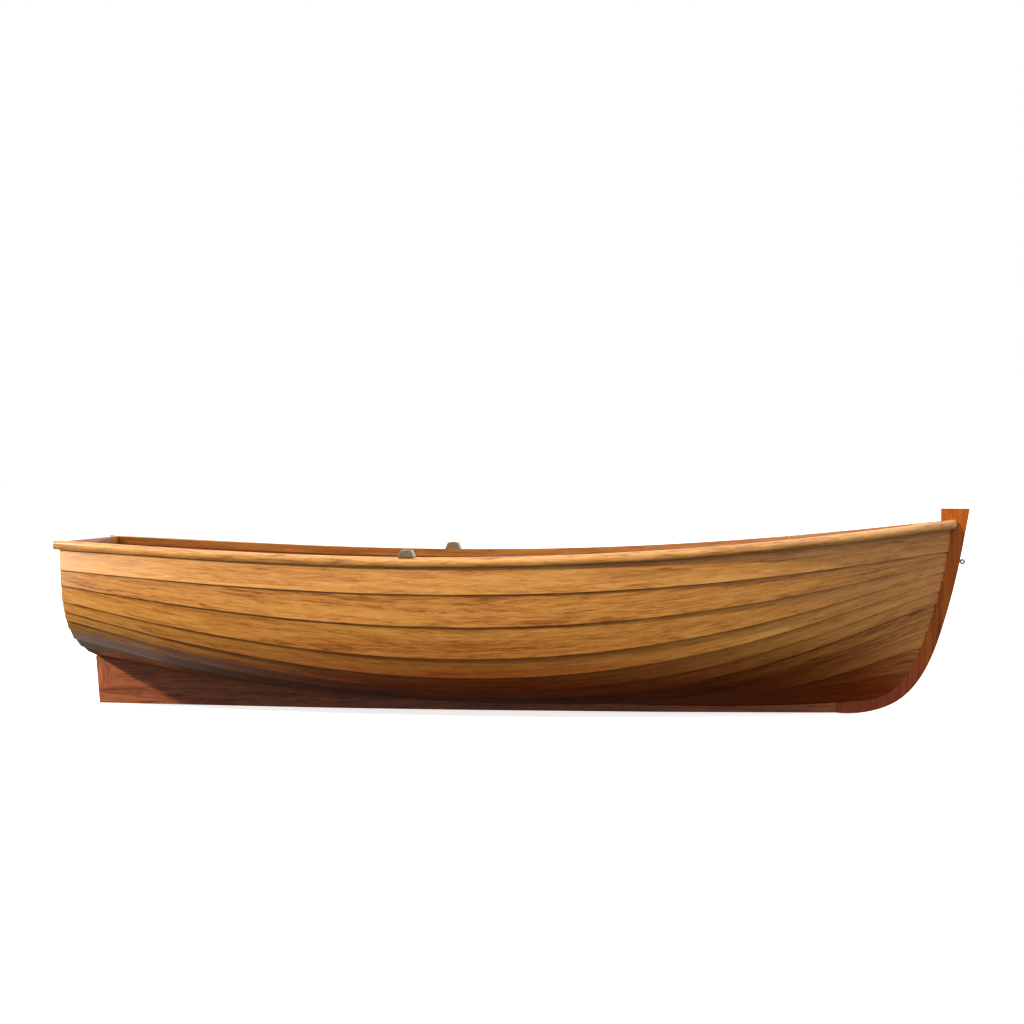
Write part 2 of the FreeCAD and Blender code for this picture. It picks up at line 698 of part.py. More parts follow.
def make_apron():
    """Inner stem, bevelled to the planks' inner faces."""
    points = stem_rabbet(40.0)
    back = []
    for i in range(25):
        here = moulded(1.0, i / 24)
        before, after = moulded(1.0, max(i - 1, 0) / 24), moulded(1.0, min(i + 1, 24) / 24)
        tangent = (after - before).normalize()
        depth = size["apron_foot"] + (size["apron_depth"] - size["apron_foot"]) * i / 24
        back.append((here.x - tangent.z * depth, here.z + tangent.x * depth))
    top = hook_underside() - 2
    back = [p for p in back if p[1] < top and p[0] > size["hog_front_x"] + bedding]
    low_x = size["hog_front_x"] + bedding
    foot = [(low_x, back[0][1]), (low_x, rabbet_height(low_x) + bedding)]
    front = [p for p in points if p[1] < top]
    front.append((front[-1][0], top))
    outline = front + [(back[-1][0] + 4, top)] + back[::-1] + foot
    timber = slab(outline, size["apron_half"])
    set_shape("apron", timber.common(inside_planks.Shape))


def make_hog():
    first = transom_x(size["transom_heel_z"]) + size["transom_thickness"] + 2
    stations = spaced(first, size["hog_front_x"], 30)
    under = [(x, rabbet_height(x) + bedding) for x in stations]
    tops = [(x, rabbet_height(x) + size["hog_thickness"]) for x in stations]
    timber = slab(under + tops[::-1], size["hog_half"])
    set_shape("hog", clear_of(timber.common(inside_planks.Shape).cut(slot_cutter()), 1, False))


def make_transom():
    """Board shaped to the planks' inner faces, steps and all."""
    faces = []
    for shift in (0.0, size["transom_thickness"]):
        section = Section(0.0) if shift == 0.0 else Section(shift / 3580.0)
        chain = []
        for k in range(STRAKE_COUNT):
            foot_normal, head_normal = section.normal[k]
            picked = section.inner[k] if k == 0 else section.inner[k][1:]
            for i, point in enumerate(picked):
                blend = i / (len(picked) - 1)
                normal = foot_normal * (1 - blend) + head_normal * blend
                up = Vector(0, -normal.z, normal.y)
                raised = bedding if k > 0 and i == 0 or i == len(picked) - 1 and k < STRAKE_COUNT - 1 else 0.0
                chain.append(point - normal * bedding + up * raised)
        chain = [Vector(transom_x(p.z) + shift, p.y, p.z) for p in chain]
        loop = [port_or_starboard(p, 1) for p in chain] + [port_or_starboard(p, -1) for p in chain[::-1]]
        faces.append(closed_wire(loop))
    board = Part.makeLoft(faces, True, True)
    for strake in range(1, STRAKE_COUNT + 1):
        board = clear_of(board, strake, False)
    set_shape("transom", board)


make_keel()
make_deadwood()
make_sternpost()
make_stem()
make_transom()
make_hog()
make_apron()


# ---- timbers, rails and risings ------------------------------------------------------

def timber_face(x, width_side):
    """Side face of a steamed timber at a station: smooth curves inside the laps."""
    frame = Frame(x)
    start = size["hog_half"] + 3

    def chain(distance):
        points = frame.inset(distance)
        foot = across(points, start, 0)
        top_z = frame.sheer() - 3
        head = across(points, top_z, 1)
        middle = [p for p in points if p[0] > start + 6 and p[1] < top_z - 12]
        kept = [foot] + middle + [head]
        return [put(x, y * width_side, z) for y, z in kept]

    outer, inner = chain(size["timber_gap"]), chain(size["timber_gap"] + size["timber_thickness"])
    edges = []
    for points in (outer, inner[::-1]):
        spline = Part.BSplineCurve()
        spline.interpolate(points)
        edges.append(spline.toShape())
    head = Part.makeLine(outer[-1], inner[-1])
    foot = Part.makeLine(inner[0], outer[0])
    return Part.Wire([edges[0], head, edges[1], foot])


def make_timbers():
    for name, side in (("port", 1), ("starboard", -1)):
        solids = []
        for i in range(size["timber_count"]):
            x = size["timber_first_x"] + i * size["timber_space"]
            half = size["timber_width"] / 2
            wires = [timber_face(x - half, side), timber_face(x + half, side)]
            solids.append(Part.makeLoft(wires, True, True))
        set_shape(f"timbers_{name}", Part.makeCompound(solids))


def batten(stations, corners_at, side):
    """A long piece of four corners, lofted smoothly through its stations."""
    loops = []
    for x in stations:
        loops.append([put(x, y * side, z) for y, z in corners_at(x)])
    faces = list(Part.makeLoft([closed_wire(loop) for loop in loops], False, False).Faces)
    faces += [quad(*loops[0]), quad(*loops[-1])]
    return solid_from(faces)


def rail_corners(drop, depth, width):
    """Corners of a fore-and-aft piece lying against the timbers' inner faces."""

    def corners(x):
        frame = Frame(x)
        points = frame.inset(timber_inset + 3 * bedding)
        top = frame.sheer() - drop
        upper, lower = across(points, top, 1), across(points, top - depth, 1)
        return [upper, lower, (lower[0] - width, lower[1]), (upper[0] - width, upper[1])]

    return corners


def make_inwales():
    first = transom_x(size["quarter_sheer_z"]) + size["transom_thickness"] + 4 * bedding
    stations = spaced(first, size["hook_aft_x"] - 1, 21)
    for name, side in (("port", 1), ("starboard", -1)):
        corners = rail_corners(0.0, size["inwale_depth"], size["inwale_width"])
        set_shape(f"inwale_{name}", batten(stations, corners, side))


def make_risings():
    stations = spaced(-1745, 1470, 17)
    for name, side in (("port", 1), ("starboard", -1)):
        corners = rail_corners(size["rising_drop"], size["rising_depth"], size["rising_width"])
        set_shape(f"rising_{name}", batten(stations, corners, side))


def outwale_wire(head, low, tangent, side):
    """D-shaped section of the outwale, flat against the sheer strake."""
    out = Vector(tangent.y, -tangent.x, 0)
    if out.y < 0:
        out = out * -1
    out.normalize()
    lean = (low - head).dot(out)
    inner_top = head + out * 2 * bedding
    inner_low = Vector(head.x, head.y, low.z) + out * (lean + 2 * bedding)
    shoulder = size["outwale_width"] - size["outwale_round"]
    top = Vector(inner_top.x, inner_top.y, head.z) + out * shoulder
    bottom = Vector(top.x, top.y, head.z - size["outwale_depth"])
    face = (top + bottom) * 0.5 + out * size["outwale_round"]
    points = [port_or_starboard(p, side) for p in (inner_top, top, face, bottom, inner_low)]
    arc = Part.Arc(points[1], points[2], points[3]).toShape()
    return Part.Wire([Part.makeLine(points[0], points[1]), arc, Part.makeLine(points[3], points[4]),
                      Part.makeLine(points[4], points[0])])


def make_outwales():
    heads, lows = [], []
    for section in sections:
        outer = section.outer[-1]
        foot, head = outer[0], outer[-1]
        share = size["outwale_depth"] / (head.z - foot.z)
        heads.append(head)
        lows.append(head + (foot - head) * share)
    curve = Part.BSplineCurve()
    curve.interpolate(heads)
    tangents = []
    for head in heads:
        tangents.append(Vector(*curve.tangent(curve.parameter(head))[0]))
    overhang = tangents[0] * size["outwale_overhang"]
    heads[0], lows[0] = heads[0] - overhang, lows[0] - overhang
    pull = tangents[-1] * size["outwale_stem_gap"]
    heads[-1], lows[-1] = heads[-1] - pull, lows[-1] - pull
    for name, side in (("port", 1), ("starboard", -1)):
        wires = [outwale_wire(h, l, t, side) for h, l, t in zip(heads, lows, tangents)]
        faces = list(Part.makeLoft(wires, False, False).Faces)
        faces += [Part.Face(wires[0]), Part.Face(wires[-1])]
        set_shape(f"outwale_{name}", solid_from(faces))


make_timbers()
make_inwales()
make_risings()
make_outwales()


# ---- pieces drawn with sketches and primitives ---------------------------------------

def bind(feature, **expressions):
    """Bind properties of a feature to cells of the sheet."""
    for name, expression in expressions.items():
        feature.setExpression(name.replace("__", "."), expression)
    return feature


def box(name, **expressions):
    """A Part::Box whose sizes and corner are bound: Length, Width, Height and x, y, z."""
    feature = doc.addObject("Part::Box", name)
    for axis in ("x", "y", "z"):
        if axis in expressions:
            feature.setExpression(f"Placement.Base.{axis}", expressions.pop(axis))
    return bind(feature, **expressions)


def cylinder(name, radius, height, x, y, z, axis=Vector(0, 0, 1)):
    """A Part::Cylinder starting at a point, its sizes and place bound to the sheet."""
    feature = doc.addObject("Part::Cylinder", name)
    feature.Placement = FreeCAD.Placement(Vector(0, 0, 0), FreeCAD.Rotation(Vector(0, 0, 1), axis))
    bind(feature, Radius=radius, Height=height)
    for name, expression in (("x", x), ("y", y), ("z", z)):
        feature.setExpression(f"Placement.Base.{name}", expression)
    return feature


def boolean(kind, name, base, tool):
    feature = doc.addObject(f"Part::{kind}", name)
    feature.Base, feature.Tool = base, tool
    return feature


def fuse(name, shapes):
    feature = doc.addObject("Part::MultiFuse", name)
    feature.Shapes = shapes
    feature.Refine = True
    return feature


# Heights that follow from the lines are entered as worked-out cells.
def enter_derived(rows):
    first = len(size) + 2
    for row, (alias, value, note) in enumerate(rows, start=first):
        sheet.set(f"A{row}", note)
        sheet.set(f"B{row}", repr(round(value, 4)))
        sheet.setAlias(f"B{row}", alias)


def sheer_at(x):
    return Frame(x).sheer()


def highest(height_at, x, half):
    return max(height_at(x - half), height_at(x + half))


centre_half = size["centre_thwart_width"] / 2
mast_half = size["mast_thwart_width"] / 2
enter_derived([
    ("centre_thwart_z", highest(rising_top, size["centre_thwart_x"], centre_half) + bedding, "its underside"),
    ("mast_thwart_z", highest(rising_top, size["mast_thwart_x"], mast_half) + bedding, "its underside"),
    ("case_top_z", board["case_top"], "top of the case's sides"),
    ("board_top_z", board["board_top"], "top of the housed board"),
    ("slot_aft_x", board["slot_aft"], "after end of the board's slot"),
    ("slot_fore_x", board["slot_fore"], "forward end of the board's slot"),
    ("rowlock_z", highest(sheer_at, size["rowlock_x"], size["rowlock_pad_length"] / 2) + bedding,
     "underside of the rowlock pads"),
    ("rowlock_y", Frame(size["rowlock_x"]).points[-1][0], "moulded half-breadth at the rowlocks"),
])
doc.recompute()


def make_thwart(label, x_cell, width_cell, z_cell, hole):
    plank_box = box(f"{label}_plank", Length=f"dims.{width_cell}", Width="4 * dims.stern_bilge_y",
                    Height="dims.thwart_thickness", x=f"dims.{x_cell} - dims.{width_cell} / 2",
                    y="-2 * dims.stern_bilge_y", z=f"dims.{z_cell} - dims.waterline")
    if hole:
        bore = cylinder(f"{label}_bore", "dims.mast_radius", "3 * dims.thwart_thickness", f"dims.{x_cell}",
                        "0", f"dims.{z_cell} - dims.waterline - dims.thwart_thickness")
        plank_box = boolean("Cut", f"{label}_bored", plank_box, bore)
    finish(boolean("Common", label, plank_box, inside_timbers), label)


def make_stern_bench():
    slats = []
    for i in range(size["bench_slat_count"]):
        aft = size["stern_bench_x"] + i * (size["bench_slat"] + size["bench_slat_gap"])
        top = highest(rising_top, aft + size["bench_slat"] / 2, size["bench_slat"] / 2) + bedding
        reach = size["middle_sheer_y"]
        blank = Part.makeBox(size["bench_slat"], 2 * reach, size["bench_thickness"], put(aft, -reach, top))
        slats.append(blank.common(inside_timbers.Shape))
    set_shape("stern_bench", Part.makeCompound(slats))


def knee_outline(x, thwart_top):
    """Outline of a thwart knee, from the thwart up to the inwale."""
    half = size["knee_thickness"] / 2
    head_z = min(Frame(x - half).sheer(), Frame(x + half).sheer()) - size["inwale_depth"] - 2 * bedding
    back = []
    chains = [Frame(x - half).inset(timber_inset + 1), Frame(x + half).inset(timber_inset + 1)]
    for z in spaced(thwart_top, head_z, 7):
        back.append((min(across(chain, z, 1)[0] for chain in chains), z))
    toe, throat = back[0][0] - size["knee_foot"], back[-1][0] - size["knee_throat"]
    front = []
    for i in range(13):
        t = i / 12
        corner_y, corner_z = back[0][0] - size["knee_bend_y"], thwart_top + size["knee_bend_z"]
        y = (1 - t) ** 2 * throat + 2 * t * (1 - t) * corner_y + t * t * toe
        z = (1 - t) ** 2 * head_z + 2 * t * (1 - t) * corner_z + t * t * (thwart_top + size["knee_toe"])
        front.append((y, z))
    return back + front + [(toe, thwart_top)]


def make_knees(label, thwart_x, thwart_width, thwart_z):
    solids = []
    half = size["knee_thickness"] / 2
    spread = thwart_width / 2 - size["knee_inset"]
    for x in (thwart_x - spread, thwart_x + spread):
        outline = knee_outline(x, thwart_z + size["thwart_thickness"] + bedding)
        for side in (1, -1):
            points = [put(x - half, y * side, z) for y, z in outline]
            solids.append(Part.Face(closed_wire(points)).extrude(Vector(2 * half, 0, 0)))
    set_shape(label, Part.makeCompound(solids))


def origin_plane(body, role):
    return next(plane for plane in body.Origin.OriginFeatures if plane.Role == role)


def side_sketch(body, name, role="XZ_Plane"):
    sketch = body.newObject("Sketcher::SketchObject", name)
    sketch.AttachmentSupport = (origin_plane(body, role), [""])
    sketch.MapMode = "FlatFace"
    return sketch


def sketch_polygon(sketch, corners):
    """Closed polygon in a sketch; each corner's distances from the origin are bound."""
    count = len(corners)
    values = [(sheet_value(x), sheet_value(y)) for x, y in corners]
    for i in range(count):
        start, end = values[i], values[(i + 1) % count]
        sketch.addGeometry(Part.LineSegment(Vector(*start, 0), Vector(*end, 0)), False)
    for i in range(count):
        sketch.addConstraint(Sketcher.Constraint("Coincident", i, 2, (i + 1) % count, 1))
    for i, (x, y) in enumerate(corners):
        for kind, expression, value in (("DistanceX", x, values[i][0]), ("DistanceY", y, values[i][1])):
            index = sketch.addConstraint(Sketcher.Constraint(kind, -1, 1, i, 1, value))
            sketch.setExpression(f"Constraints[{index}]", expression)


def sheet_value(expression):
    """Present value of an expression over the sheet's cells."""
    probe = doc.getObject("probe") or doc.addObject("App::FeaturePython", "probe")
    if not hasattr(probe, "value"):
        probe.addProperty("App::PropertyFloat", "value")
    probe.setExpression("value", expression)
    doc.recompute([probe])
    return probe.value


def make_centreboard():
    """Galvanised steel plate, hung on the pivot bolt."""
    body = doc.addObject("PartDesign::Body", "centreboard")
    outline = side_sketch(body, "board_outline")
    low = "dims.board_foot_z - dims.waterline"
    top = "dims.board_top_z - dims.waterline"
    aft = "dims.board_pivot_x - dims.board_length"
    nose = "dims.board_nose"
    sketch_polygon(outline, [
        (f"dims.board_pivot_x - {nose} * 0.2", f"dims.board_pivot_z - dims.waterline - {nose}"),
        (f"dims.board_pivot_x + {nose} * 0.6", f"dims.board_pivot_z - dims.waterline - {nose} * 0.72"),
        (f"dims.board_pivot_x + {nose} * 0.94", f"dims.board_pivot_z - dims.waterline"),
        (f"dims.board_pivot_x + {nose} * 0.6", f"dims.board_pivot_z - dims.waterline + {nose} * 0.72"),
        (f"dims.board_pivot_x - {nose} * 0.2", f"dims.board_pivot_z - dims.waterline + {nose}"),
        (f"dims.board_pivot_x - dims.board_length * 0.45", top),
        (f"{aft} + {nose}", top),
        (aft, f"{top} - {nose}"),
        (aft, f"{low} + {nose} * 1.6"),
        (f"{aft} + {nose} * 1.4", low),
        (f"dims.board_pivot_x - {nose} * 3", low),
    ])
    plate = body.newObject("PartDesign::Pad", "board_plate")
    plate.Profile = outline
    plate.SideType = "Symmetric" if hasattr(plate, "SideType") else plate.Midplane
    bind(plate, Length="dims.board_thickness")
    bore = side_sketch(body, "board_bore")
    circle_at(bore, "dims.board_pivot_x", "dims.board_pivot_z - dims.waterline",
              "dims.pivot_radius + dims.pivot_clearance")
    hole = body.newObject("PartDesign::Pocket", "board_hole")
    hole.Profile = bore
    hole.Type = 1
    hole.Midplane = True
    doc.recompute()
    finish(body, "centreboard")


def circle_at(sketch, x, y, radius):
    place = Vector(sheet_value(x), sheet_value(y), 0)
    sketch.addGeometry(Part.Circle(place, Vector(0, 0, 1), sheet_value(radius)), False)
    for kind, expression in (("DistanceX", x), ("DistanceY", y)):
        value = place.x if kind == "DistanceX" else place.y
        index = sketch.addConstraint(Sketcher.Constraint(kind, -1, 1, 0, 3, value))
        sketch.setExpression(f"Constraints[{index}]", expression)
    index = sketch.addConstraint(Sketcher.Constraint("Radius", 0, sheet_value(radius)))
    sketch.setExpression(f"Constraints[{index}]", radius)


def hog_top(x):
    return rabbet_height(x) + size["hog_thickness"] + bedding


def make_case():
    """Sides, end posts and cap of the centreboard's case."""
    post, side, top = size["case_post"], size["case_side"], board["case_top"]
    aft, fore = board["slot_aft"] - post, board["slot_fore"] + post
    stations = spaced(aft, fore, 12)
    outline = [(x, hog_top(x)) for x in stations] + [(fore, top), (aft, top)]
    pivot = drilled_hole(size["board_pivot_x"], 0, size["board_pivot_z"], size["pivot_radius"] + bedding,
                         200, Vector(0, 1, 0))
    for name, sign in (("port", 1), ("starboard", -1)):
        middle = sign * (slot_half + side / 2)
        set_shape(f"case_side_{name}", slab(outline, side / 2, middle).cut(pivot))
    posts = []
    for x in (aft, board["slot_fore"]):
        foot = [(x, hog_top(x)), (x + post, hog_top(x + post))]
        posts.append(slab(foot + [(x + post, top), (x, top)], slot_half - bedding))
    set_shape("case_posts", Part.makeCompound(posts))
    finish(box("case_cap", Length="dims.slot_fore_x - dims.slot_aft_x + 2 * (dims.case_post + 6)",
               Width="dims.board_thickness + 2 * (dims.board_clearance + dims.case_side + dims.case_cap_overhang)",
               Height="dims.case_cap", x="dims.slot_aft_x - dims.case_post - 6",
               y="-dims.board_thickness / 2 - dims.board_clearance - dims.case_side - dims.case_cap_overhang",
               z="dims.case_top_z + dims.bedding - dims.waterline"), "case_cap")


def make_pivot_bolt():
    reach = "dims.board_thickness / 2 + dims.board_clearance + dims.case_side"
    shank = cylinder("pivot_shank", "dims.pivot_radius", f"2 * ({reach} + dims.pivot_head)",
                     "dims.board_pivot_x", f"-({reach} + dims.pivot_head)",
                     "dims.board_pivot_z - dims.waterline", Vector(0, 1, 0))
    heads = []
    for name, start in (("head", f"-({reach} + dims.pivot_head)"), ("nut", f"{reach} + dims.bedding")):
        heads.append(cylinder(f"pivot_{name}", "dims.pivot_head_radius", "dims.pivot_head - dims.bedding",
                              "dims.board_pivot_x", start, "dims.board_pivot_z - dims.waterline",
                              Vector(0, 1, 0)))
    finish(fuse("pivot_bolt", [shank] + heads), "pivot_bolt")


def make_mast_step():
    x, half = size["mast_thwart_x"], size["step_length"] / 2
    stations = spaced(x - half, x + half, 6)
    top = hog_top(x) + size["step_depth"]
    outline = [(s, hog_top(s)) for s in stations] + [(x + half, top), (x - half, top)]
    block = slab(outline, size["step_half"])
    slot_length, slot_width = size["step_slot_length"], 2 * size["step_slot_half"]
    depth = size["step_depth"] * 0.7
    slot = Part.makeBox(slot_length, slot_width, depth + 1,
                        put(x - slot_length / 2, -slot_width / 2, top - depth))
    set_shape("mast_step", block.cut(slot).common(inside_planks.Shape))


def make_bottom_boards():
    stations = spaced(size["boards_aft_x"], size["boards_fore_x"], 12)
    inset = timber_inset + bedding + 1.0
    solids = []
    for i in range(3):
        def corners(x, i=i):
            frame = Frame(x)
            low, high = frame.inset(inset), frame.inset(inset + size["boards_thickness"])
            inner_y = size["hog_half"] + 14
            outer_y = across(low, frame.rabbet() + size["boards_rise"], 1)[0]
            step = (outer_y - inner_y) / 3
            near, far = inner_y + step * i, inner_y + step * (i + 1) - size["boards_gap"]
            return [across(low, near, 0), across(low, far, 0), across(high, far, 0), across(high, near, 0)]

        for side in (1, -1):
            solids.append(batten(stations, corners, side))
    set_shape("bottom_boards", Part.makeCompound(solids))


def make_breasthook():
    """Flat knee that ties the two sheer strakes to the stem."""
    aft, low, beyond = size["hook_aft_x"], hook_underside(), size["stem_face_x"]
    reach = size["middle_sheer_y"]
    outline = [(aft + size["hook_hollow"], 0), (aft, reach), (beyond, reach)]
    outline += [(beyond, -reach), (aft, -reach)]
    blank = Part.Face(closed_wire([put(x, y, low) for x, y in outline]))
    blank = blank.extrude(Vector(0, 0, size["hook_thickness"] - 1))
    set_shape("breasthook", blank.common(inside_planks.Shape))


def make_quarter_knees():
    """Flat knees in the corners between the transom and the sheer strakes."""
    under_inwale = Frame(size["timber_first_x"]).sheer() - size["inwale_depth"]
    low = under_inwale - size["hook_thickness"] - 2 * bedding
    clear = size["transom_thickness"] + 2 * bedding
    corner_x = transom_x(low) + clear
    side_x = corner_x + size["quarter_knee_side"]
    side_y, corner_y = (Frame(x).points[-1][0] for x in (side_x, corner_x))
    start = (side_x, side_y - size["quarter_knee_tip"])
    bend = (corner_x + size["quarter_knee_tip"], corner_y - size["quarter_knee_tip"])
    end = (corner_x, corner_y - size["quarter_knee_arm"])
    points = [(corner_x, size["middle_sheer_y"]), (side_x, size["middle_sheer_y"])]
    for t in (i / 10 for i in range(11)):
        ends = zip(start, bend, end)
        points.append(tuple((1 - t) ** 2 * a + 2 * t * (1 - t) * b + t * t * c for a, b, c in ends))
    above = low + 4 * size["hook_thickness"]
    behind = slab([(corner_x - 200, low - 1), (transom_x(low - 1) + clear, low - 1),
                   (transom_x(above) + clear, above), (corner_x - 200, above)], size["middle_sheer_y"])
    for name, side in (("port", 1), ("starboard", -1)):
        blank = Part.Face(closed_wire([put(x, y * side, low) for x, y in points]))
        blank = blank.extrude(Vector(0, 0, size["hook_thickness"]))
        set_shape(f"quarter_knee_{name}", blank.cut(behind).common(inside_planks.Shape))


def make_rowlocks():
    """Pads on the rails, each with a bronze socket let in."""
    centre_y = (size["outwale_width"] + plank - timber_inset - size["inwale_width"]) / 2
    for name, side in (("port", 1), ("starboard", -1)):
        body = doc.addObject("PartDesign::Body", f"rowlock_pad_{name}")
        outline = side_sketch(body, f"pad_outline_{name}")
        sketch_polygon(outline, [
            ("-dims.rowlock_pad_length / 2", "0 * dims.bedding"),
            ("dims.rowlock_pad_length / 2", "0 * dims.bedding"),
            ("dims.rowlock_pad_length / 2", "dims.bedding * 20"),
            ("dims.rowlock_pad_top / 2", "dims.rowlock_pad_height"),
            ("-dims.rowlock_pad_top / 2", "dims.rowlock_pad_height"),
            ("-dims.rowlock_pad_length / 2", "dims.bedding * 20")])
        pad = body.newObject("PartDesign::Pad", f"pad_{name}")
        pad.Profile = outline
        pad.Midplane = True
        bind(pad, Length="dims.outwale_width + dims.plank + dims.timber_gap + dims.timber_thickness"
                         " + dims.inwale_width")
        bore = side_sketch(body, f"pad_bore_{name}", "XY_Plane")
        circle_at(bore, "0 * dims.bedding", "0 * dims.bedding", "dims.rowlock_barrel + dims.bedding")
        hole = body.newObject("PartDesign::Pocket", f"pad_hole_{name}")
        hole.Profile = bore
        hole.Type = 1
        hole.Midplane = True
        body.setExpression("Placement.Base.x", "dims.rowlock_x")
        body.setExpression("Placement.Base.y", f"{side} * (dims.rowlock_y + ({centre_y}))")
        body.setExpression("Placement.Base.z", "dims.rowlock_z - dims.waterline")
        finish(body, f"rowlock_pad_{name}")
        y = f"{side} * (dims.rowlock_y + ({centre_y}))"
        barrel = cylinder(f"socket_barrel_{name}", "dims.rowlock_barrel", "dims.rowlock_pad_height",
                          "dims.rowlock_x", y, "dims.rowlock_z - dims.waterline + dims.bedding")
        flange = cylinder(f"socket_flange_{name}", "dims.rowlock_socket", "dims.rowlock_flange",
                          "dims.rowlock_x", y,
                          "dims.rowlock_z - dims.waterline + dims.rowlock_pad_height + dims.bedding")
        bore = cylinder(f"socket_bore_{name}", "dims.rowlock_bore", "2 * dims.rowlock_pad_height",
                        "dims.rowlock_x", y, "dims.rowlock_z - dims.waterline + dims.rowlock_floor")
        solid = fuse(f"socket_blank_{name}", [barrel, flange])
        finish(boolean("Cut", f"rowlock_socket_{name}", solid, bore), f"rowlock_socket_{name}")


def make_gudgeons():
    """Two eyes for the rudder's pintles, on one axis along the transom's rake."""
    for name in ("low", "high"):
        z = size[f"gudgeon_{name}_z"]
        place = FreeCAD.Placement(put(transom_x(z), 0, z), FreeCAD.Rotation(Vector(0, 1, 0), -size["transom_rake"]))
        plate_box = box(f"gudgeon_plate_{name}", Length="dims.gudgeon_plate", Width="dims.gudgeon_plate_width",
                        Height="dims.gudgeon_height", x="-dims.gudgeon_plate - dims.bedding",
                        y="-dims.gudgeon_plate_width / 2", z="-dims.gudgeon_height / 2")
        web = box(f"gudgeon_web_{name}", Length="dims.gudgeon_standoff", Width="2 * dims.gudgeon_eye",
                  Height="dims.gudgeon_height", x="-dims.gudgeon_standoff - dims.bedding",
                  y="-dims.gudgeon_eye", z="-dims.gudgeon_height / 2")
        eye = cylinder(f"gudgeon_eye_{name}", "dims.gudgeon_eye", "dims.gudgeon_height",
                       "-dims.gudgeon_standoff - dims.bedding", "0", "-dims.gudgeon_height / 2")
        bore = cylinder(f"gudgeon_bore_{name}", "dims.gudgeon_bore", "2 * dims.gudgeon_height",
                        "-dims.gudgeon_standoff - dims.bedding", "0", "-dims.gudgeon_height")
        blank = fuse(f"gudgeon_blank_{name}", [plate_box, web, eye])
        feature = boolean("Cut", f"gudgeon_{name}", blank, bore)
        feature.Placement = place
        finish(feature, "gudgeon_lower" if name == "low" else "gudgeon_upper")


def make_bow_eye():
    """Eye bolt through the stem, for the painter."""
    z = size["bow_eye_z"]
    face = curve_through(STEM_FACE, 200)
    face_x = along(sorted((pz, px) for px, pz in face), z)
    ring = doc.addObject("Part::Torus", "bow_eye_ring")
    ring.Placement = FreeCAD.Placement(put(face_x + size["bow_eye_radius"] + 3, 0, z),
                                       FreeCAD.Rotation(Vector(1, 0, 0), 90))
    bind(ring, Radius1="dims.bow_eye_radius", Radius2="dims.bow_eye_wire")
    shank = doc.addObject("Part::Cylinder", "bow_eye_shank")
    bind(shank, Radius="dims.bow_eye_shank", Height="dims.bow_eye_reach + dims.bow_eye_wire")
    shank.Placement = FreeCAD.Placement(put(face_x - size["bow_eye_reach"], 0, z),
                                        FreeCAD.Rotation(Vector(0, 1, 0), 90))
    finish(fuse("bow_eye", [ring, shank]), "bow_eye")


make_thwart("centre_thwart", "centre_thwart_x", "centre_thwart_width", "centre_thwart_z", False)
make_thwart("mast_thwart", "mast_thwart_x", "mast_thwart_width", "mast_thwart_z", True)
make_stern_bench()
doc.recompute()
make_knees("centre_thwart_knees", size["centre_thwart_x"], size["centre_thwart_width"],
           highest(rising_top, size["centre_thwart_x"], centre_half) + bedding)
make_knees("mast_thwart_knees", size["mast_thwart_x"], size["mast_thwart_width"],
           highest(rising_top, size["mast_thwart_x"], mast_half) + bedding)
make_centreboard()
make_case()
make_pivot_bolt()
make_mast_step()
make_bottom_boards()
make_breasthook()
make_quarter_knees()
make_rowlocks()
make_gudgeons()
make_bow_eye()


# ---- check and write -----------------------------------------------------------------

def check_and_export():
    doc.recompute()
    failed = [o.Name for o in doc.Objects if "Invalid" in o.State or "Error" in o.State]
    for feature in nodes:
        if feature.Shape.isNull() or not feature.Shape.isValid() or not feature.Shape.Solids:
            failed.append(feature.Label)
    if failed:
        raise RuntimeError(f"these pieces failed: {failed}")
    os.makedirs("parts", exist_ok=True)
    for feature in nodes:
        feature.Shape.exportStep(f"parts/{feature.Label}.step")
    total = sum(feature.Shape.Volume for feature in nodes) / 1e9
    print(f"{len(nodes)} pieces, {total:.4f} cubic metres of solid")


check_and_export()
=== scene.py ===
# %% [markdown]
# # A varnished clinker sailing dinghy
#
# The boat's frame is already made in CAD: 58 separate pieces, from the ten strakes a side
# down to the eye on the stem.  This lesson dresses that frame.  It rebuilds the planks so
# that the grain can follow them, eases the sharp edges of every timber, adds the copper
# roves, and varnishes the lot.  All lengths are in metres, +X to the bow, +Y to port.

# %% Load the frame
import json
import math
import random

import bmesh
import bpy
from mathutils import Matrix, Vector


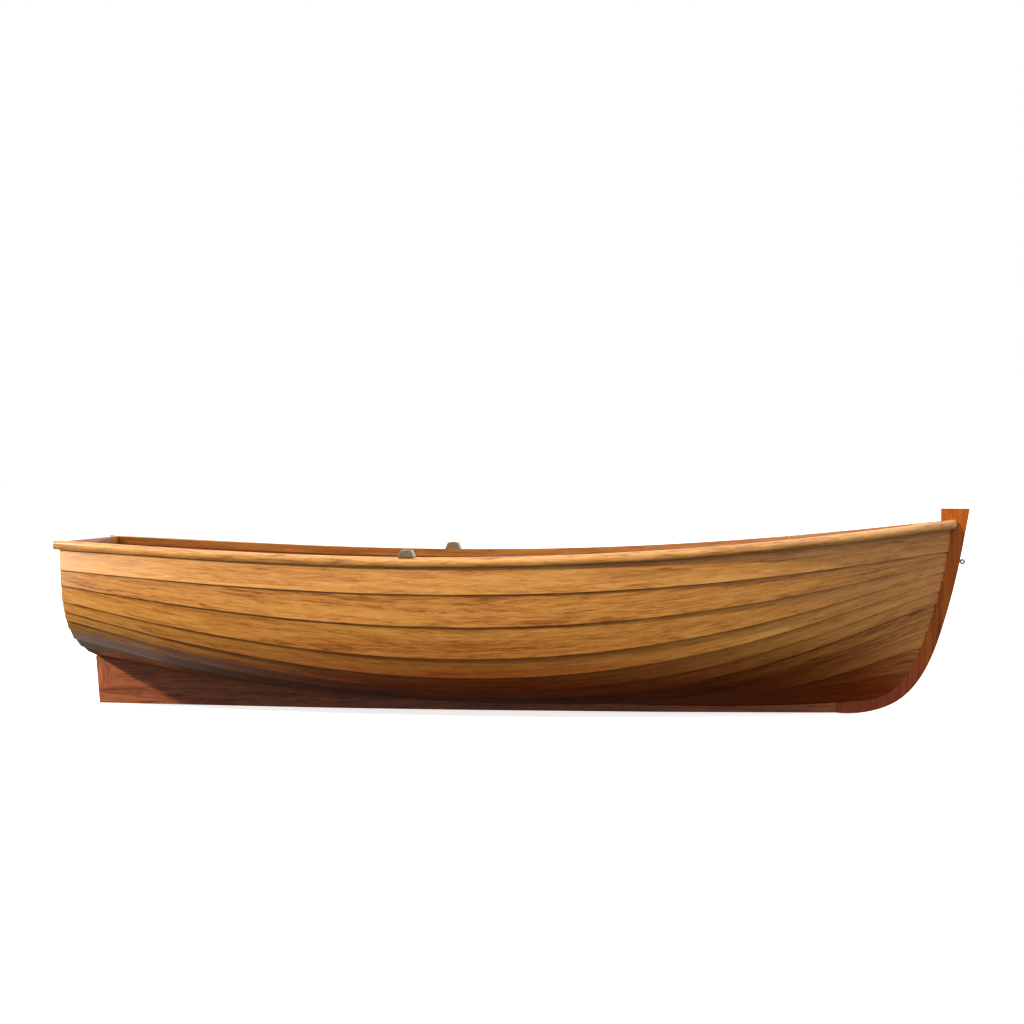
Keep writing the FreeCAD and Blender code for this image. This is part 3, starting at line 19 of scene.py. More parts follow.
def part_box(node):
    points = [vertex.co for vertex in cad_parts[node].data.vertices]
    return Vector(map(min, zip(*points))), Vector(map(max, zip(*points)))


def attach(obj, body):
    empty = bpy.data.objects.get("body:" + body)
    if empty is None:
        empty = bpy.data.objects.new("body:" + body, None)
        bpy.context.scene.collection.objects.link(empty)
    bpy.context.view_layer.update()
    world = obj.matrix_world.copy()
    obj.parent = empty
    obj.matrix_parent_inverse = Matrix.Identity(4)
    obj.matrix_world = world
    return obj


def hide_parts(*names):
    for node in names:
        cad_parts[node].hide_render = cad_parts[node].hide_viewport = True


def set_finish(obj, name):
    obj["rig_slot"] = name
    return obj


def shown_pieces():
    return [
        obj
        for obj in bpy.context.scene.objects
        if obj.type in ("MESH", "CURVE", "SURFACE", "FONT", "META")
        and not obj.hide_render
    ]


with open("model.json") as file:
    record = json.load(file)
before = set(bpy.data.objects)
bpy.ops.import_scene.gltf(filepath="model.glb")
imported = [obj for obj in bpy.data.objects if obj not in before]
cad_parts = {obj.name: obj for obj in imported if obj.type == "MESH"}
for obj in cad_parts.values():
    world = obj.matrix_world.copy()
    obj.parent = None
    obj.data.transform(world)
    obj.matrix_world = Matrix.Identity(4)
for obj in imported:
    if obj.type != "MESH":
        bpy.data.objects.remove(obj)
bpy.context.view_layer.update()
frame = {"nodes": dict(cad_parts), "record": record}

NODES = frame["nodes"]
BODY_OF = {node: body for body, members in frame["record"]["behaviour"]["bodies"].items() for node in members}
SLOT_OF = {part["node"]: part["material_slot"] for part in frame["record"]["subparts"]}
KEEL_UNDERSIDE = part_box("keel")[0].z
print("frame:", len(NODES), "nodes; the keel's underside is at", round(KEEL_UNDERSIDE, 3))

# %% [markdown]
# ## The shape of the hull
#
# A clinker hull has no single skin, but its planks are bent round one smooth imaginary
# surface, the moulded surface.  It could be sculpted, or read off the CAD mesh.  Here it is
# a Bezier net of five rows with four points each, because twenty points keep it fair: no
# plank can have a bump that its neighbours lack.

# %% The moulded surface
RABBET_HALF = 0.018
TRANSOM_HEEL_X, TRANSOM_HEEL_Z = -1.791, 0.220
TRANSOM_RAKE = math.tan(math.radians(4.9))


def on_transom(z):
    """Station of the raked transom's after face at a height above the keel."""
    return TRANSOM_HEEL_X - (z - TRANSOM_HEEL_Z) * TRANSOM_RAKE


def control_row(low_x, high_x, rabbet_z, *corners):
    """A row of the net from the rabbet to the sheer, its stations evenly spaced."""
    outline = [(RABBET_HALF, rabbet_z), *corners]
    return [Vector((low_x + (high_x - low_x) * i / 3, y, z)) for i, (y, z) in enumerate(outline)]


TRANSOM_OUTLINE = ((RABBET_HALF, TRANSOM_HEEL_Z), (0.440, 0.287), (0.622, 0.343), (0.485, 0.697))
STEM_OUTLINE = ((1.455, 0.068), (1.622, 0.101), (1.730, 0.511), (1.757, 0.797))
NET = [
    [Vector((on_transom(z), y, z)) for y, z in TRANSOM_OUTLINE],
    control_row(-0.872, -0.872, 0.062, (0.600, 0.015), (0.722, 0.338), (0.736, 0.655)),
    control_row(0.0, 0.0, 0.056, (0.655, -0.150), (0.725, 0.018), (0.695, 0.579)),
    control_row(0.771, 1.130, 0.001, (0.545, 0.335), (0.735, -0.043), (0.803, 0.713)),
    [Vector((x, RABBET_HALF, z)) for x, z in STEM_OUTLINE],
]


def bernstein(degree, t):
    return [math.comb(degree, i) * t**i * (1 - t) ** (degree - i) for i in range(degree + 1)]


def moulded(s, u):
    """Point of the moulded surface: s from transom to stem, u from rabbet to sheer."""
    point = Vector((0, 0, 0))
    for along, row in zip(bernstein(4, s), NET):
        for across, corner in zip(bernstein(3, u), row):
            point += corner * (along * across)
    return point


print("beam of the moulded surface amidships:", round(2 * moulded(0.5, 1).y, 3))

# %% [markdown]
# ## The planks
#
# Ten strakes a side overlap like roof tiles.  Each is 9 mm thick and covers the top 20 mm of
# the one below it, so its lower edge stands proud and throws the dark line that makes a
# clinker hull what it is.  Towards stem and transom the laps are planed away into gains,
# until the planks lie flush.  An array or a displaced skin would give the lines but not
# the real edges, so every plank is worked out in section and lofted on its own.

# %% Widths of the strakes
PLANK, LAP, BEDDING = 0.009, 0.020, 0.00025
GIRTH_STEPS, GARBOARD_STEPS, STATION_COUNT = 60, 6, 96
GAIN_AFT, GAIN_START, GAIN_FLUSH, STEM_TRIM, HOUSED = 0.1, 0.93, 0.8, 0.02, 0.002
# Shares of the girth, from the sheer strake down to the garboard.
AT_STERN = (0.148, 0.073, 0.075, 0.048, 0.045, 0.062, 0.102, 0.136, 0.153, 0.158)
AMIDSHIPS = (0.137, 0.119, 0.120, 0.086, 0.080, 0.076, 0.086, 0.100, 0.098, 0.098)
AT_STEM = (0.162, 0.060, 0.041, 0.043, 0.055, 0.062, 0.069, 0.076, 0.088, 0.344)
STRAKES = len(AMIDSHIPS)


def strake_shares(s):
    """Each strake's share of the girth at a station, from the garboard up."""
    shares = [
        2 * (s - 0.5) * (s - 1) * aft + 4 * s * (1 - s) * mid + 2 * s * (s - 0.5) * fore
        for aft, mid, fore in zip(AT_STERN, AMIDSHIPS, AT_STEM)
    ]
    return [share / sum(shares) for share in reversed(shares)]


print("sheer strake amidships takes", round(strake_shares(0.5)[-1], 3), "of the girth")

# %% A section through the planks


class Girth:
    """The moulded section at a station, measured along its length."""

    def __init__(self, s):
        self.points = [moulded(s, i / GIRTH_STEPS) for i in range(GIRTH_STEPS + 1)]
        self.run = [0.0]
        for before, after in zip(self.points, self.points[1:]):
            self.run.append(self.run[-1] + (after - before).length)

    def at(self, distance):
        """Point and outward normal at a distance from the rabbet."""
        distance = min(max(distance, 0.0), self.run[-1])
        i = 0
        while i < GIRTH_STEPS - 1 and self.run[i + 1] < distance:
            i += 1
        share = (distance - self.run[i]) / (self.run[i + 1] - self.run[i])
        low, high = self.points[max(i - 1, 0)], self.points[min(i + 2, GIRTH_STEPS)]
        rise, spread = high.z - low.z, high.y - low.y
        normal = Vector((0, rise, -spread)).normalized()
        return self.points[i].lerp(self.points[i + 1], share), normal


def back_along(chain, distance):
    """Point of a chain at a distance back from its last corner."""
    for after, before in zip(reversed(chain), reversed(chain[:-1])):
        step = (before - after).length
        if step >= distance:
            return after.lerp(before, distance / step)
        distance -= step
    return chain[0]


def plank_sections(s):
    """Inner and outer corners of the ten port planks at a station, from foot to head."""
    girth = Girth(s)
    gain = max(0.0, (s - GAIN_START) / (1 - GAIN_START), 1 - s / GAIN_AFT) * GAIN_FLUSH
    edges = [0.0]
    for share in strake_shares(s):
        edges.append(edges[-1] + share * girth.run[-1])
    found, land_foot, land_head = [], None, None
    for k in range(STRAKES):
        low, high = edges[k], edges[k + 1] + (LAP if k < STRAKES - 1 else 0.0)
        (head, head_normal), (foot, foot_normal) = girth.at(high), girth.at(low)
        head_thickness = PLANK * (1 - gain) if k < STRAKES - 1 else PLANK
        if k == 0:
            inner, outer = [], []
            for i in range(GARBOARD_STEPS + 1):
                point, normal = girth.at(low + (high - low) * i / GARBOARD_STEPS)
                inner.append(point)
                outer.append(point + normal * (PLANK if i < GARBOARD_STEPS else head_thickness))
        else:
            offset = (land_foot - foot).dot(foot_normal)
            foot_thickness = PLANK * (1 - gain) + gain * (PLANK * 1.1 - offset)
            outer_foot = land_foot + foot_normal * max(foot_thickness, PLANK * 0.4)
            share = (land_head - land_foot).length / (head - land_foot).length
            outer_head = head + head_normal * head_thickness
            inner = [land_foot + foot_normal * BEDDING, land_head + foot_normal * BEDDING, head]
            outer = [outer_foot, outer_foot.lerp(outer_head, share), outer_head]
        land_head, land_foot = outer[-1], back_along(outer, LAP)
        found.append((inner, outer))
    return [trimmed(s, inner, outer) for inner, outer in found]


def trimmed(s, inner, outer):
    """The ends lie in the transom's plane, and are housed square in the stem's side."""
    if s == 0.0:
        inner = [Vector((on_transom(p.z), p.y, p.z)) for p in inner]
        outer = [Vector((on_transom(p.z), p.y, p.z)) for p in outer]
    square = max(0.0, (s - 1 + STEM_TRIM) / STEM_TRIM)
    outer = [Vector((p.x, p.y, p.z + (q.z - p.z) * square)) for p, q in zip(outer, inner)]
    if s == 1.0:
        inner, outer = ([p + Vector((HOUSED, 0, 0)) for p in chain] for chain in (inner, outer))
    return inner, outer


SECTIONS = [plank_sections(i / STATION_COUNT) for i in range(STATION_COUNT + 1)]
print("plank sections:", len(SECTIONS), "stations of", STRAKES, "strakes")

# %% [markdown]
# ## Grain that follows the wood
#
# Wood is a solid material, so its figure has a direction.  A texture laid on world
# coordinates would run straight through a bent plank.  Each vertex therefore carries a
# small vector named grain: how far it is along its board, across it, and through it.
# A second value, tint, sets one board apart from the next, as boards from different logs are.

# %% Grain, tint and eased edges
log = random.Random(11)
EASE_ANGLE = math.radians(32)


def write_grain(mesh, grain, tint):
    """Store the vectors and tints that the varnished materials read."""
    height = [vertex.co.z - KEEL_UNDERSIDE for vertex in mesh.vertices]
    layers = (("grain", "FLOAT_VECTOR", grain), ("tint", "FLOAT", tint), ("height", "FLOAT", height))
    for name, kind, values in layers:
        layer = mesh.attributes.new(name, kind, "POINT")
        layer.data.foreach_set("vector" if kind == "FLOAT_VECTOR" else "value", values)


def ease(piece, width, segments=2):
    """Round the edges as a plane and sandpaper would, and keep the flats flat."""
    piece.data.shade_smooth()
    bevel = piece.modifiers.new("eased edges", "BEVEL")
    bevel.width, bevel.segments = width, segments
    bevel.limit_method, bevel.angle_limit = "ANGLE", EASE_ANGLE
    bevel.harden_normals = True


def settle(piece, stands_for):
    """Give the piece its body and its slot, and hide the CAD node that it stands for."""
    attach(piece, BODY_OF[stands_for])
    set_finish(piece, SLOT_OF[stands_for])
    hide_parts(stands_for)
    return piece


print("edges sharper than", round(math.degrees(EASE_ANGLE)), "degrees are eased")

# %% Loft the planks


def loft_plank(k, side):
    """One strake, lofted through its sections and closed at both ends."""
    loops, grain, tint, along, shade = [], [], [], 0.0, log.random()
    shift = Vector((log.uniform(0, 9), log.uniform(0, 9), 0))
    previous = None
    for section in SECTIONS:
        inner, outer = section[k]
        if previous is not None:
            along += (inner[1] - previous).length
        previous = inner[1]
        loops.append([Vector((p.x, p.y * side, p.z + KEEL_UNDERSIDE)) for p in inner + outer[::-1]])
        for chain, depth in ((inner, 0.0), (outer[::-1], PLANK)):
            for p in chain:
                grain.extend(Vector((along, (p - inner[0]).length, depth)) + shift)
                tint.append(shade)
    count = len(loops[0])
    faces = []
    for i in range(len(loops) - 1):
        for j in range(count):
            a, b = i * count + j, i * count + (j + 1) % count
            faces.append((a, b, b + count, a + count))
    for start in (0, (len(loops) - 1) * count):
        for j in range(count // 2 - 1):
            faces.append((start + j, start + j + 1, start + count - 2 - j, start + count - 1 - j))
    mesh = bpy.data.meshes.new(f"plank_{k + 1:02d}")
    mesh.from_pydata([p for loop in loops for p in loop], [], faces)
    form = bmesh.new()
    form.from_mesh(mesh)
    bmesh.ops.recalc_face_normals(form, faces=form.faces)
    form.to_mesh(mesh)
    form.free()
    write_grain(mesh, grain, tint)
    return mesh


PLANK_EASE = 0.0012
for k in range(STRAKES):
    for name, side in (("port", 1), ("starboard", -1)):
        node = f"strake_{k + 1:02d}_{name}"
        plank = bpy.data.objects.new(f"plank_{k + 1:02d}_{name}", loft_plank(k, side))
        bpy.context.collection.objects.link(plank)
        ease(plank, PLANK_EASE)
        settle(plank, node)
print("planks:", 2 * STRAKES)

# %% [markdown]
# ## Everything sawn from timber or cast in bronze
#
# The keel, stem, thwarts, knees and rails already have their true shapes in the frame, but
# with edges that no joiner would leave.  They could be modelled again one by one.  It is
# surer to copy each CAD mesh, weld it, join the triangles of its flats into whole faces,
# and ease every hard edge, so that nothing moves from where the frame says.

# %% How wide each kind of piece is eased, and which way its grain runs
EASES = {"stem": 0.001, "keel": 0.0012, "transom": 0.002, "rail": 0.003, "timbers": 0.0015,
         "seats": 0.003, "steel": 0.001, "brass": 0.0006}
ATHWART = ("thwart", "transom", "breasthook")
UPRIGHT = ("stem", "sternpost", "apron", "knee", "case_posts", "gudgeon")
TURN_OF_BILGE = Vector((0, 0, 0.42))
SHEER = [section[STRAKES - 1][1][-1] for section in SECTIONS]


def along_sheer(point):
    """Length along the sheer, and how far the point lies above and outside it."""
    run = 0.0
    for before, after in zip(SHEER, SHEER[1:]):
        if point.x <= after.x or after is SHEER[-1]:
            share = (point.x - before.x) / (after.x - before.x)
            sheer = before.lerp(after, share)
            run += (after - before).length * share
            return Vector((run, point.z - KEEL_UNDERSIDE - sheer.z, abs(point.y) - sheer.y))
        run += (after - before).length


def grain_axes(node, point):
    """Along, across and through the wood, for a point of a piece."""
    if "wale" in node:
        return along_sheer(point)
    if node.startswith("timbers"):
        from_middle = point - TURN_OF_BILGE
        angle = math.atan2(abs(from_middle.y), -from_middle.z)
        reach = math.hypot(from_middle.y, from_middle.z)
        return Vector((angle * reach, reach, point.x))
    if any(word in node for word in UPRIGHT):
        return Vector((point.z, point.x, point.y))
    if any(word in node for word in ATHWART):
        return Vector((point.y, point.x, point.z))
    return Vector((point.x, point.z, point.y))


def boards_of(form):
    """The separate boards of a mesh, as lists of vertices."""
    left = set(form.verts)
    while left:
        board, edge = [], [min(left, key=lambda v: v.index)]
        left.discard(edge[0])
        while edge:
            vertex = edge.pop()
            board.append(vertex)
            for link in vertex.link_edges:
                other = link.other_vert(vertex)
                if other in left:
                    left.discard(other)
                    edge.append(other)
        yield board


WELD, FLAT = 1e-5, math.radians(0.3)


def shaped(node):
    """A welded copy of a CAD node with its edges eased."""
    mesh = NODES[node].data.copy()
    mesh.name = f"{node}_shaped"
    for name in [a.name for a in mesh.attributes if a.name.startswith("custom_normal")]:
        mesh.attributes.remove(mesh.attributes[name])
    form = bmesh.new()
    form.from_mesh(mesh)
    bmesh.ops.remove_doubles(form, verts=form.verts, dist=WELD)
    bmesh.ops.dissolve_limit(form, angle_limit=FLAT, verts=form.verts, edges=form.edges)
    form.verts.index_update()
    grain, tint = [0.0] * (3 * len(form.verts)), [0.0] * len(form.verts)
    for board in boards_of(form):
        shade, shift = log.random(), Vector((log.uniform(0, 9), log.uniform(0, 9), log.uniform(0, 9)))
        for vertex in board:
            at = vertex.index
            grain[3 * at:3 * at + 3] = grain_axes(node, vertex.co) + shift
            tint[at] = shade
    form.to_mesh(mesh)
    form.free()
    mesh.materials.clear()
    write_grain(mesh, grain, tint)
    piece = bpy.data.objects.new(f"{node}_shaped", mesh)
    bpy.context.collection.objects.link(piece)
    ease(piece, EASES[SLOT_OF[node]])
    return settle(piece, node)


for node in sorted(NODES):
    if not node.startswith("strake"):
        shaped(node)
print("shaped pieces:", len(NODES) - 2 * STRAKES)

# %% [markdown]
# ## Roves
#
# A clinker boat is held together by copper nails.  Each is driven through a lap and a
# timber, capped inside with a cupped washer, the rove, and riveted over it.  They could be
# painted on as dots, but from above they catch the light, so each is a small turned cap.
# There is one at every crossing of a lap and a timber.

# %% One copper rove at every lap of every timber
TIMBERS, FIRST_TIMBER, TIMBER_SPACE = 20, -1.600, 0.155
TIMBER_GAP, TIMBER_THICKNESS = 0.0026, 0.009
# A rove's profile, from the timber's face up: pairs of radius and height.
ROVE = ((0.0052, 0.0), (0.0048, 0.0009), (0.0024, 0.0019), (0.0019, 0.0026), (0.0, 0.0029))
ROVE_SIDES = 12


def lap_at(k, x):
    """Middle of a lap, moved in to the timbers' faces, and the direction into the boat."""
    for before, after in zip(SECTIONS, SECTIONS[1:]):
        first, last = before[k][0][-1], after[k][0][-1]
        if first.x <= x <= last.x:
            share = (x - first.x) / (last.x - first.x)
            up = (before[k][0][-1] - before[k][0][-2]).normalized()
            inward = Vector((0, -up.z, up.y)).normalized()
            middle = first.lerp(last, share) - up * (LAP / 2)
            return middle + inward * (TIMBER_GAP + TIMBER_THICKNESS), inward
    return None, None


def make_roves(side):
    """All the roves of one side, as one mesh."""
    points, faces = [], []
    for i in range(TIMBERS):
        for k in range(1, STRAKES - 1):
            centre, inward = lap_at(k, FIRST_TIMBER + i * TIMBER_SPACE)
            if centre is None:
                continue
            across = inward.cross(Vector((1, 0, 0)))
            start = len(points)
            for radius, height in ROVE:
                for j in range(ROVE_SIDES):
                    turn = math.tau * j / ROVE_SIDES
                    point = centre + inward * height
                    point += (Vector((1, 0, 0)) * math.cos(turn) + across * math.sin(turn)) * radius
                    points.append((point.x, point.y * side, point.z + KEEL_UNDERSIDE))
            for ring in range(len(ROVE) - 1):
                for j in range(ROVE_SIDES):
                    low = start + ring * ROVE_SIDES
                    a, b = low + j, low + (j + 1) % ROVE_SIDES
                    faces.append((a, b, b + ROVE_SIDES, a + ROVE_SIDES))
    mesh = bpy.data.meshes.new("roves")
    mesh.from_pydata(points, [], faces)
    form = bmesh.new()
    form.from_mesh(mesh)
    bmesh.ops.remove_doubles(form, verts=form.verts, dist=WELD)
    bmesh.ops.recalc_face_normals(form, faces=form.faces)
    form.to_mesh(mesh)
    form.free()
    mesh.shade_smooth()
    return mesh


for name, side in (("port", 1), ("starboard", -1)):
    roves = bpy.data.objects.new(f"roves_{name}", make_roves(side))
    bpy.context.collection.objects.link(roves)
    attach(roves, "hull")
    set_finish(roves, "brass")
print("roves on each side:", len(roves.data.vertices) // (ROVE_SIDES * (len(ROVE) - 1)))

# %% [markdown]
# ## Sums of sockets
#
# A material is a web of nodes, and most of those nodes only add or multiply.  Wiring them by
# hand hides the idea.  One small class wraps a socket, so that a sum written in Python adds
# its Math nodes, and every other node comes from the method named node.

# %% The wire class


class Wire:
    """A shader socket that can stand in a sum."""

    def __init__(self, tree, socket=None):
        self.tree, self.socket = tree, socket

    def node(self, kind, settings, inputs, result=0):
        """Add a node: its settings first, then the values or links of its sockets."""
        made = self.tree.nodes.new(kind)
        for name, value in settings.items():
            if name == "stops":
                for stop, (position, colour) in zip(made.color_ramp.elements, value):
                    stop.position, stop.color = position, (*colour, 1)
                for position, colour in value[2:]:
                    made.color_ramp.elements.new(position).color = (*colour, 1)
            else:
                setattr(made, name, value)
        for name, value in inputs.items():
            if isinstance(value, Wire):
                self.tree.links.new(value.socket, made.inputs[name])
            else:
                made.inputs[name].default_value = value
        return Wire(self.tree, made.outputs[result])

    def sum(self, operation, first, second):
        return self.node("ShaderNodeMath", {"operation": operation}, {0: first, 1: second})

    def __add__(self, other):
        return self.sum("ADD", self, other)

    def __radd__(self, other):
        return self.sum("ADD", other, self)

    def __sub__(self, other):
        return self.sum("SUBTRACT", self, other)

    def __rsub__(self, other):
        return self.sum("SUBTRACT", other, self)

    def __mul__(self, other):
        return self.sum("MULTIPLY", self, other)

    def __rmul__(self, other):
        return self.sum("MULTIPLY", other, self)

    def between(self, low, high):
        """0 below low, 1 above high, and a straight rise from one to the other."""
        settings = {"clamp": True}
        return self.node("ShaderNodeMapRange", settings, {0: self, 1: low, 2: high, 3: 0.0, 4: 1.0})


def mixed(factor, first, second, how="MIX"):
    """Two colours mixed by a factor."""
    settings = {"data_type": "RGBA", "blend_type": how}
    wire = next(part for part in (factor, first, second) if isinstance(part, Wire))
    first, second = (part if isinstance(part, Wire) else (*part, 1) for part in (first, second))
    return wire.node("ShaderNodeMix", settings, {0: factor, 6: first, 7: second}, 2)


print("a wire knows +, - and *")

# %% [markdown]
# ## Varnished wood
#
# Under the varnish the wood has three scales of figure: slow bands of colour where the saw
# passed through the growth rings, streaks a few millimetres high, and fine dark pores drawn
# out along the grain.  An image of wood would show all three but not follow the boards.
# Noise that is stretched along the grain vector does, and it never repeats.

# %% Make a varnish


def new_material(name):
    material = bpy.data.materials.new(name)
    material.use_nodes = True
    return Wire(material.node_tree), material.node_tree.nodes["Principled BSDF"], material


ALL_FACES = (-99.0, -98.0)
# Height below its line over which the painted shade under the hull comes in fully.
SHADE_FADE_HEIGHT = 0.22


def varnished(name, pale, rich, dark, low_shade=None, line=0.3, faces=ALL_FACES, gloss=0.35, rough=0.36):
    """Clear varnish over wood of three tones.

    From the line down the wood is darkened by a second tone, a painted shade, but only on faces that lie
    deeper in the grain than the pair of depths says.
    """
    wood, shader, material = new_material(name)
    grain = wood.node("ShaderNodeAttribute", {"attribute_name": "grain"}, {}, "Vector")
    tint = wood.node("ShaderNodeAttribute", {"attribute_name": "tint"}, {}, "Fac")

    def drawn_out(along, across, detail, warp=0.0):
        """Noise with this many features to the metre, along and across the grain."""
        place = wood.node("ShaderNodeVectorMath", {"operation": "MULTIPLY"},
                          {0: grain, 1: (along, across, across)}, "Vector")
        return wood.node("ShaderNodeTexNoise", {}, {"Vector": place, "Scale": 1.0, "Detail": detail,
                                                   "Roughness": 0.62, "Distortion": warp})

    rings = drawn_out(0.9, 20, 2, 0.8)
    streaks = drawn_out(6, 85, 5, 0.9)
    fibres = drawn_out(18, 330, 4, 0.4)
    pores = drawn_out(26, 700, 3).between(0.60, 0.72)
    dashes = drawn_out(9, 130, 4, 1.2).between(0.56, 0.66)
    tone = rings * 0.5 + streaks * 0.95 + fibres * 0.65 + (tint - 0.5) * 0.2 - 0.53
    colour = tone.node("ShaderNodeValToRGB", {"stops": ((0.2, dark), (0.78, pale), (0.47, rich))}, {0: tone})
    colour = mixed(dashes * 0.38 + pores * 0.25, colour, dark)
    # Painted shade: below the line the colour is multiplied by the second tone, standing in for the shade
    # that falls under the hull.
    if low_shade:
        height = wood.node("ShaderNodeAttribute", {"attribute_name": "height"}, {}, "Fac")
        outside = wood.node("ShaderNodeSeparateXYZ", {}, {0: grain}, "Z").between(*faces)
        painted_shade = (height + rings * 0.06 - 0.03).between(line, line - SHADE_FADE_HEIGHT) * outside
        colour = mixed(painted_shade, colour, mixed(1.0, colour, low_shade, "MULTIPLY"))
    tree = wood.tree
    tree.links.new(colour.socket, shader.inputs["Base Color"])
    tree.links.new((rough + streaks * 0.16 - 0.08).socket, shader.inputs["Roughness"])
    relief = fibres * 0.6 + streaks * 0.4 - dashes * 0.3 - pores * 0.3
    bump = wood.node("ShaderNodeBump", {}, {"Strength": 0.4, "Distance": 0.0005, "Height": relief})
    tree.links.new(bump.socket, shader.inputs["Normal"])
    shader.inputs["Coat Weight"].default_value = gloss
    shader.inputs["Coat Roughness"].default_value = 0.1
    shader.inputs["Specular IOR Level"].default_value = 0.3
    return material


GOLD = ((0.72, 0.355, 0.092), (0.54, 0.222, 0.042), (0.19, 0.050, 0.009))
WOODS = {
    # The second tones below are painted shade: from their lines down, the outer faces of the planks and the
    # lower stem are darkened, and the stem is also made less orange.
    "planking": varnished("golden_planking", *GOLD, low_shade=(0.50, 0.20, 0.10), line=0.34,
                          faces=(PLANK * 0.3, PLANK * 0.7)),
    "stem": varnished("orange_stem", (0.50, 0.130, 0.008), (0.38, 0.082, 0.004), (0.14, 0.024, 0.002),
                      low_shade=(0.75, 0.55, 4.0), line=0.30, gloss=0.12),
    "keel": varnished("red_keel", (0.55, 0.180, 0.066), (0.40, 0.108, 0.038), (0.14, 0.031, 0.012)),
    "transom": varnished("brown_transom", (0.48, 0.20, 0.055), (0.36, 0.13, 0.032), (0.13, 0.038, 0.010)),
    # Painted sheen: the rails' varnish is made paler and less saturated, standing in for the whitish sheen of
    # the light along them.
    "rail": varnished("pale_rail", (0.90, 0.52, 0.18), (0.76, 0.37, 0.10), (0.32, 0.11, 0.025),
                      gloss=0.8, rough=0.3),
    # Painted shade: the inwales are rail timber, given a darker, redder copy of its varnish to stand in for
    # the shade they lie in.
    "inwale": varnished("red_inwale", (0.42, 0.175, 0.045), (0.32, 0.112, 0.022), (0.11, 0.028, 0.005)),
    "timbers": varnished("pale_timbers", (0.62, 0.36, 0.14), (0.47, 0.24, 0.080), (0.20, 0.075, 0.020)),
    "seats": varnished("brown_seats", (0.55, 0.26, 0.075), (0.42, 0.165, 0.040), (0.15, 0.045, 0.010)),
}
print("varnished woods:", ", ".join(WOODS))

# %% [markdown]
# ## Metal
#
# The gudgeons, sockets and eye are bronze castings gone dull in salt air, and the roves are
# copper.  The centreboard is a steel plate dipped in zinc, which dries in crystals.  All are
# metal whose roughness and colour wander, rather than a mirror with dirt painted on.

# %% Bronze, zinc and copper


def metal(name, clean, dull, features, rough, crystals=False):
    """Metal whose colour and roughness wander at a given scale."""
    wire, shader, material = new_material(name)
    place = wire.node("ShaderNodeTexCoord", {}, {}, "Object")
    patina = wire.node("ShaderNodeTexNoise", {}, {"Vector": place, "Scale": features, "Detail": 4.0})
    if crystals:
        spangle = wire.node("ShaderNodeTexVoronoi", {}, {"Vector": place, "Scale": features}, "Color")
        patina = patina * 0.5 + spangle.node("ShaderNodeSeparateColor", {}, {0: spangle}) * 0.5
    colour = mixed(patina.between(0.3, 0.7), clean, dull)
    wire.tree.links.new(colour.socket, shader.inputs["Base Color"])
    wire.tree.links.new((patina * 0.3 + rough).socket, shader.inputs["Roughness"])
    bump = wire.node("ShaderNodeBump", {}, {"Strength": 0.2, "Distance": 0.0003, "Height": patina})
    wire.tree.links.new(bump.socket, shader.inputs["Normal"])
    shader.inputs["Metallic"].default_value = 1.0
    return material


METALS = {
    "brass": metal("weathered_bronze", (0.62, 0.52, 0.34), (0.36, 0.27, 0.15), 90, 0.18),
    "roves": metal("tarnished_copper", (0.72, 0.34, 0.19), (0.40, 0.17, 0.09), 60, 0.22),
    "steel": metal("galvanised_plate", (0.56, 0.57, 0.58), (0.38, 0.39, 0.40), 60, 0.30, crystals=True),
}
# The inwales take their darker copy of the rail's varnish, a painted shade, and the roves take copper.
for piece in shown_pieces():
    piece.data.materials.clear()
    own = (look for look in ("roves", "inwale") if piece.name.startswith(look))
    finish = next(own, piece["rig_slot"])
    piece.data.materials.append({**WOODS, **METALS}[finish])
print("metals:", ", ".join(METALS))

# %% [markdown]
# ## Floor, light and camera
#
# The boat is shown out of the water on a plain pale floor at the keel's underside.  One
# strong light stands high on the quarter and rakes along the side, which is what picks out
# the laps.  A second lamp underneath could light the bottom, but it would flatten it.  The
# sky does it instead, with soft cards of light that show as a sheen in the varnish.

# %% Floor
FLOOR_HALF = 90.0
floor_mesh = bpy.data.meshes.new("floor")
FLOOR_DROP = 0.0005
corners = [(x * FLOOR_HALF, y * FLOOR_HALF) for x, y in ((-1, -1), (1, -1), (1, 1), (-1, 1))]
floor_mesh.from_pydata([(x, y, KEEL_UNDERSIDE - FLOOR_DROP) for x, y in corners], [], [(0, 1, 2, 3)])
floor = bpy.data.objects.new("floor", floor_mesh)
bpy.context.collection.objects.link(floor)
floor.visible_diffuse = floor.visible_glossy = False
floor_paint, floor_shader, floor_material = new_material("pale_floor")
floor_shader.inputs["Base Color"].default_value = (0.85, 0.85, 0.85, 1)
floor_shader.inputs["Roughness"].default_value = 0.9
floor_shader.inputs["Emission Color"].default_value = (1, 1, 1, 1)
floor_shader.inputs["Emission Strength"].default_value = 0.8
floor_mesh.materials.append(floor_material)
print("floor at", round(KEEL_UNDERSIDE, 3))

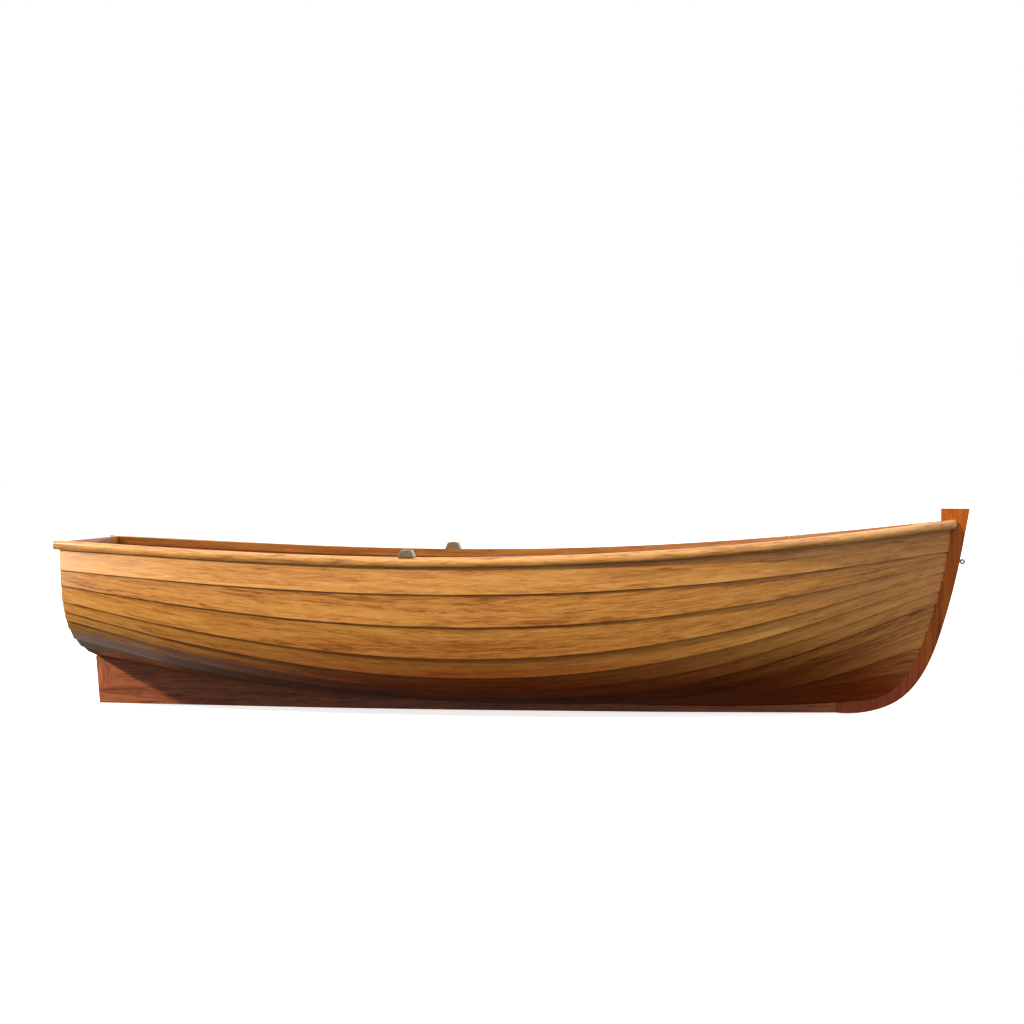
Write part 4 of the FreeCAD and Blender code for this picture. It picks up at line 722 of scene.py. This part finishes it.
# %% Sky and key light
# Each card of the sky is a patch of directions with soft edges, times its strength.
world = bpy.data.worlds.new("studio")
bpy.context.scene.world = world
world.use_nodes = True
sky = Wire(world.node_tree)
direction = sky.node("ShaderNodeTexCoord", {}, {}, "Generated")
x, y, z = (sky.node("ShaderNodeSeparateXYZ", {}, {0: direction}, axis) for axis in "XYZ")
overhead = z.between(0.25, 0.75) * 0.9
backdrop = y.between(0.1, 0.6) * z.between(-0.05, 0.0) * 0.85
stern_card = (0 - x).between(0.55, 0.8) * z.between(-0.05, -0.2) * 0.5
front = (0 - y).between(-0.2, 0.7) * z.between(-0.25, 0.15) * 0.55
bow_card = x.between(0.2, 0.9) * z.between(-0.75, -0.1) * 0.45
quarter_card = (0 - x).between(0.32, 0.50) * y.between(0.05, 0.35) * z.between(-0.2, -0.6) * 1.6
cards = stern_card + bow_card + quarter_card
studio = mixed(1.0, (1.0, 0.97, 0.93), overhead + backdrop + front + cards + 0.02, "MULTIPLY")
seen = sky.node("ShaderNodeLightPath", {}, {}, "Is Camera Ray")
glow = mixed(seen, studio, (1.0, 1.0, 1.0))
world.node_tree.links.new(glow.socket, world.node_tree.nodes["Background"].inputs["Color"])
world.node_tree.nodes["Background"].inputs["Strength"].default_value = 1.0

key = bpy.data.objects.new("key", bpy.data.lights.new("key", "SUN"))
bpy.context.collection.objects.link(key)
key.data.energy, key.data.angle, key.data.color = 3.3, math.radians(3.5), (1.0, 0.93, 0.80)
KEY_FROM = Vector((-1.25, -1.0, 0.90))
key.rotation_mode = "QUATERNION"
key.rotation_quaternion = KEY_FROM.to_track_quat("Z", "Y")
print("key light from", [round(c, 2) for c in KEY_FROM.normalized()])

# %% Camera
camera = bpy.data.objects.new("camera", bpy.data.cameras.new("camera"))
bpy.context.collection.objects.link(camera)
camera.data.lens, camera.data.sensor_width = 132.8, 36.0
camera.data.clip_end = 400
camera.location = (1.831, -15.462, 1.062 + KEEL_UNDERSIDE)
AHEAD, PITCH, ROLL = Vector((-0.1205, 0.9927, 0)), math.radians(0.90), math.radians(0.21)
look = AHEAD.normalized() * math.cos(PITCH) - Vector((0, 0, math.sin(PITCH)))
camera.rotation_mode = "QUATERNION"
camera.rotation_quaternion = look.to_track_quat("-Z", "Y") @ Matrix.Rotation(ROLL, 3, "Z").to_quaternion()
bpy.context.scene.camera = camera
bpy.context.scene.view_settings.view_transform = "Standard"
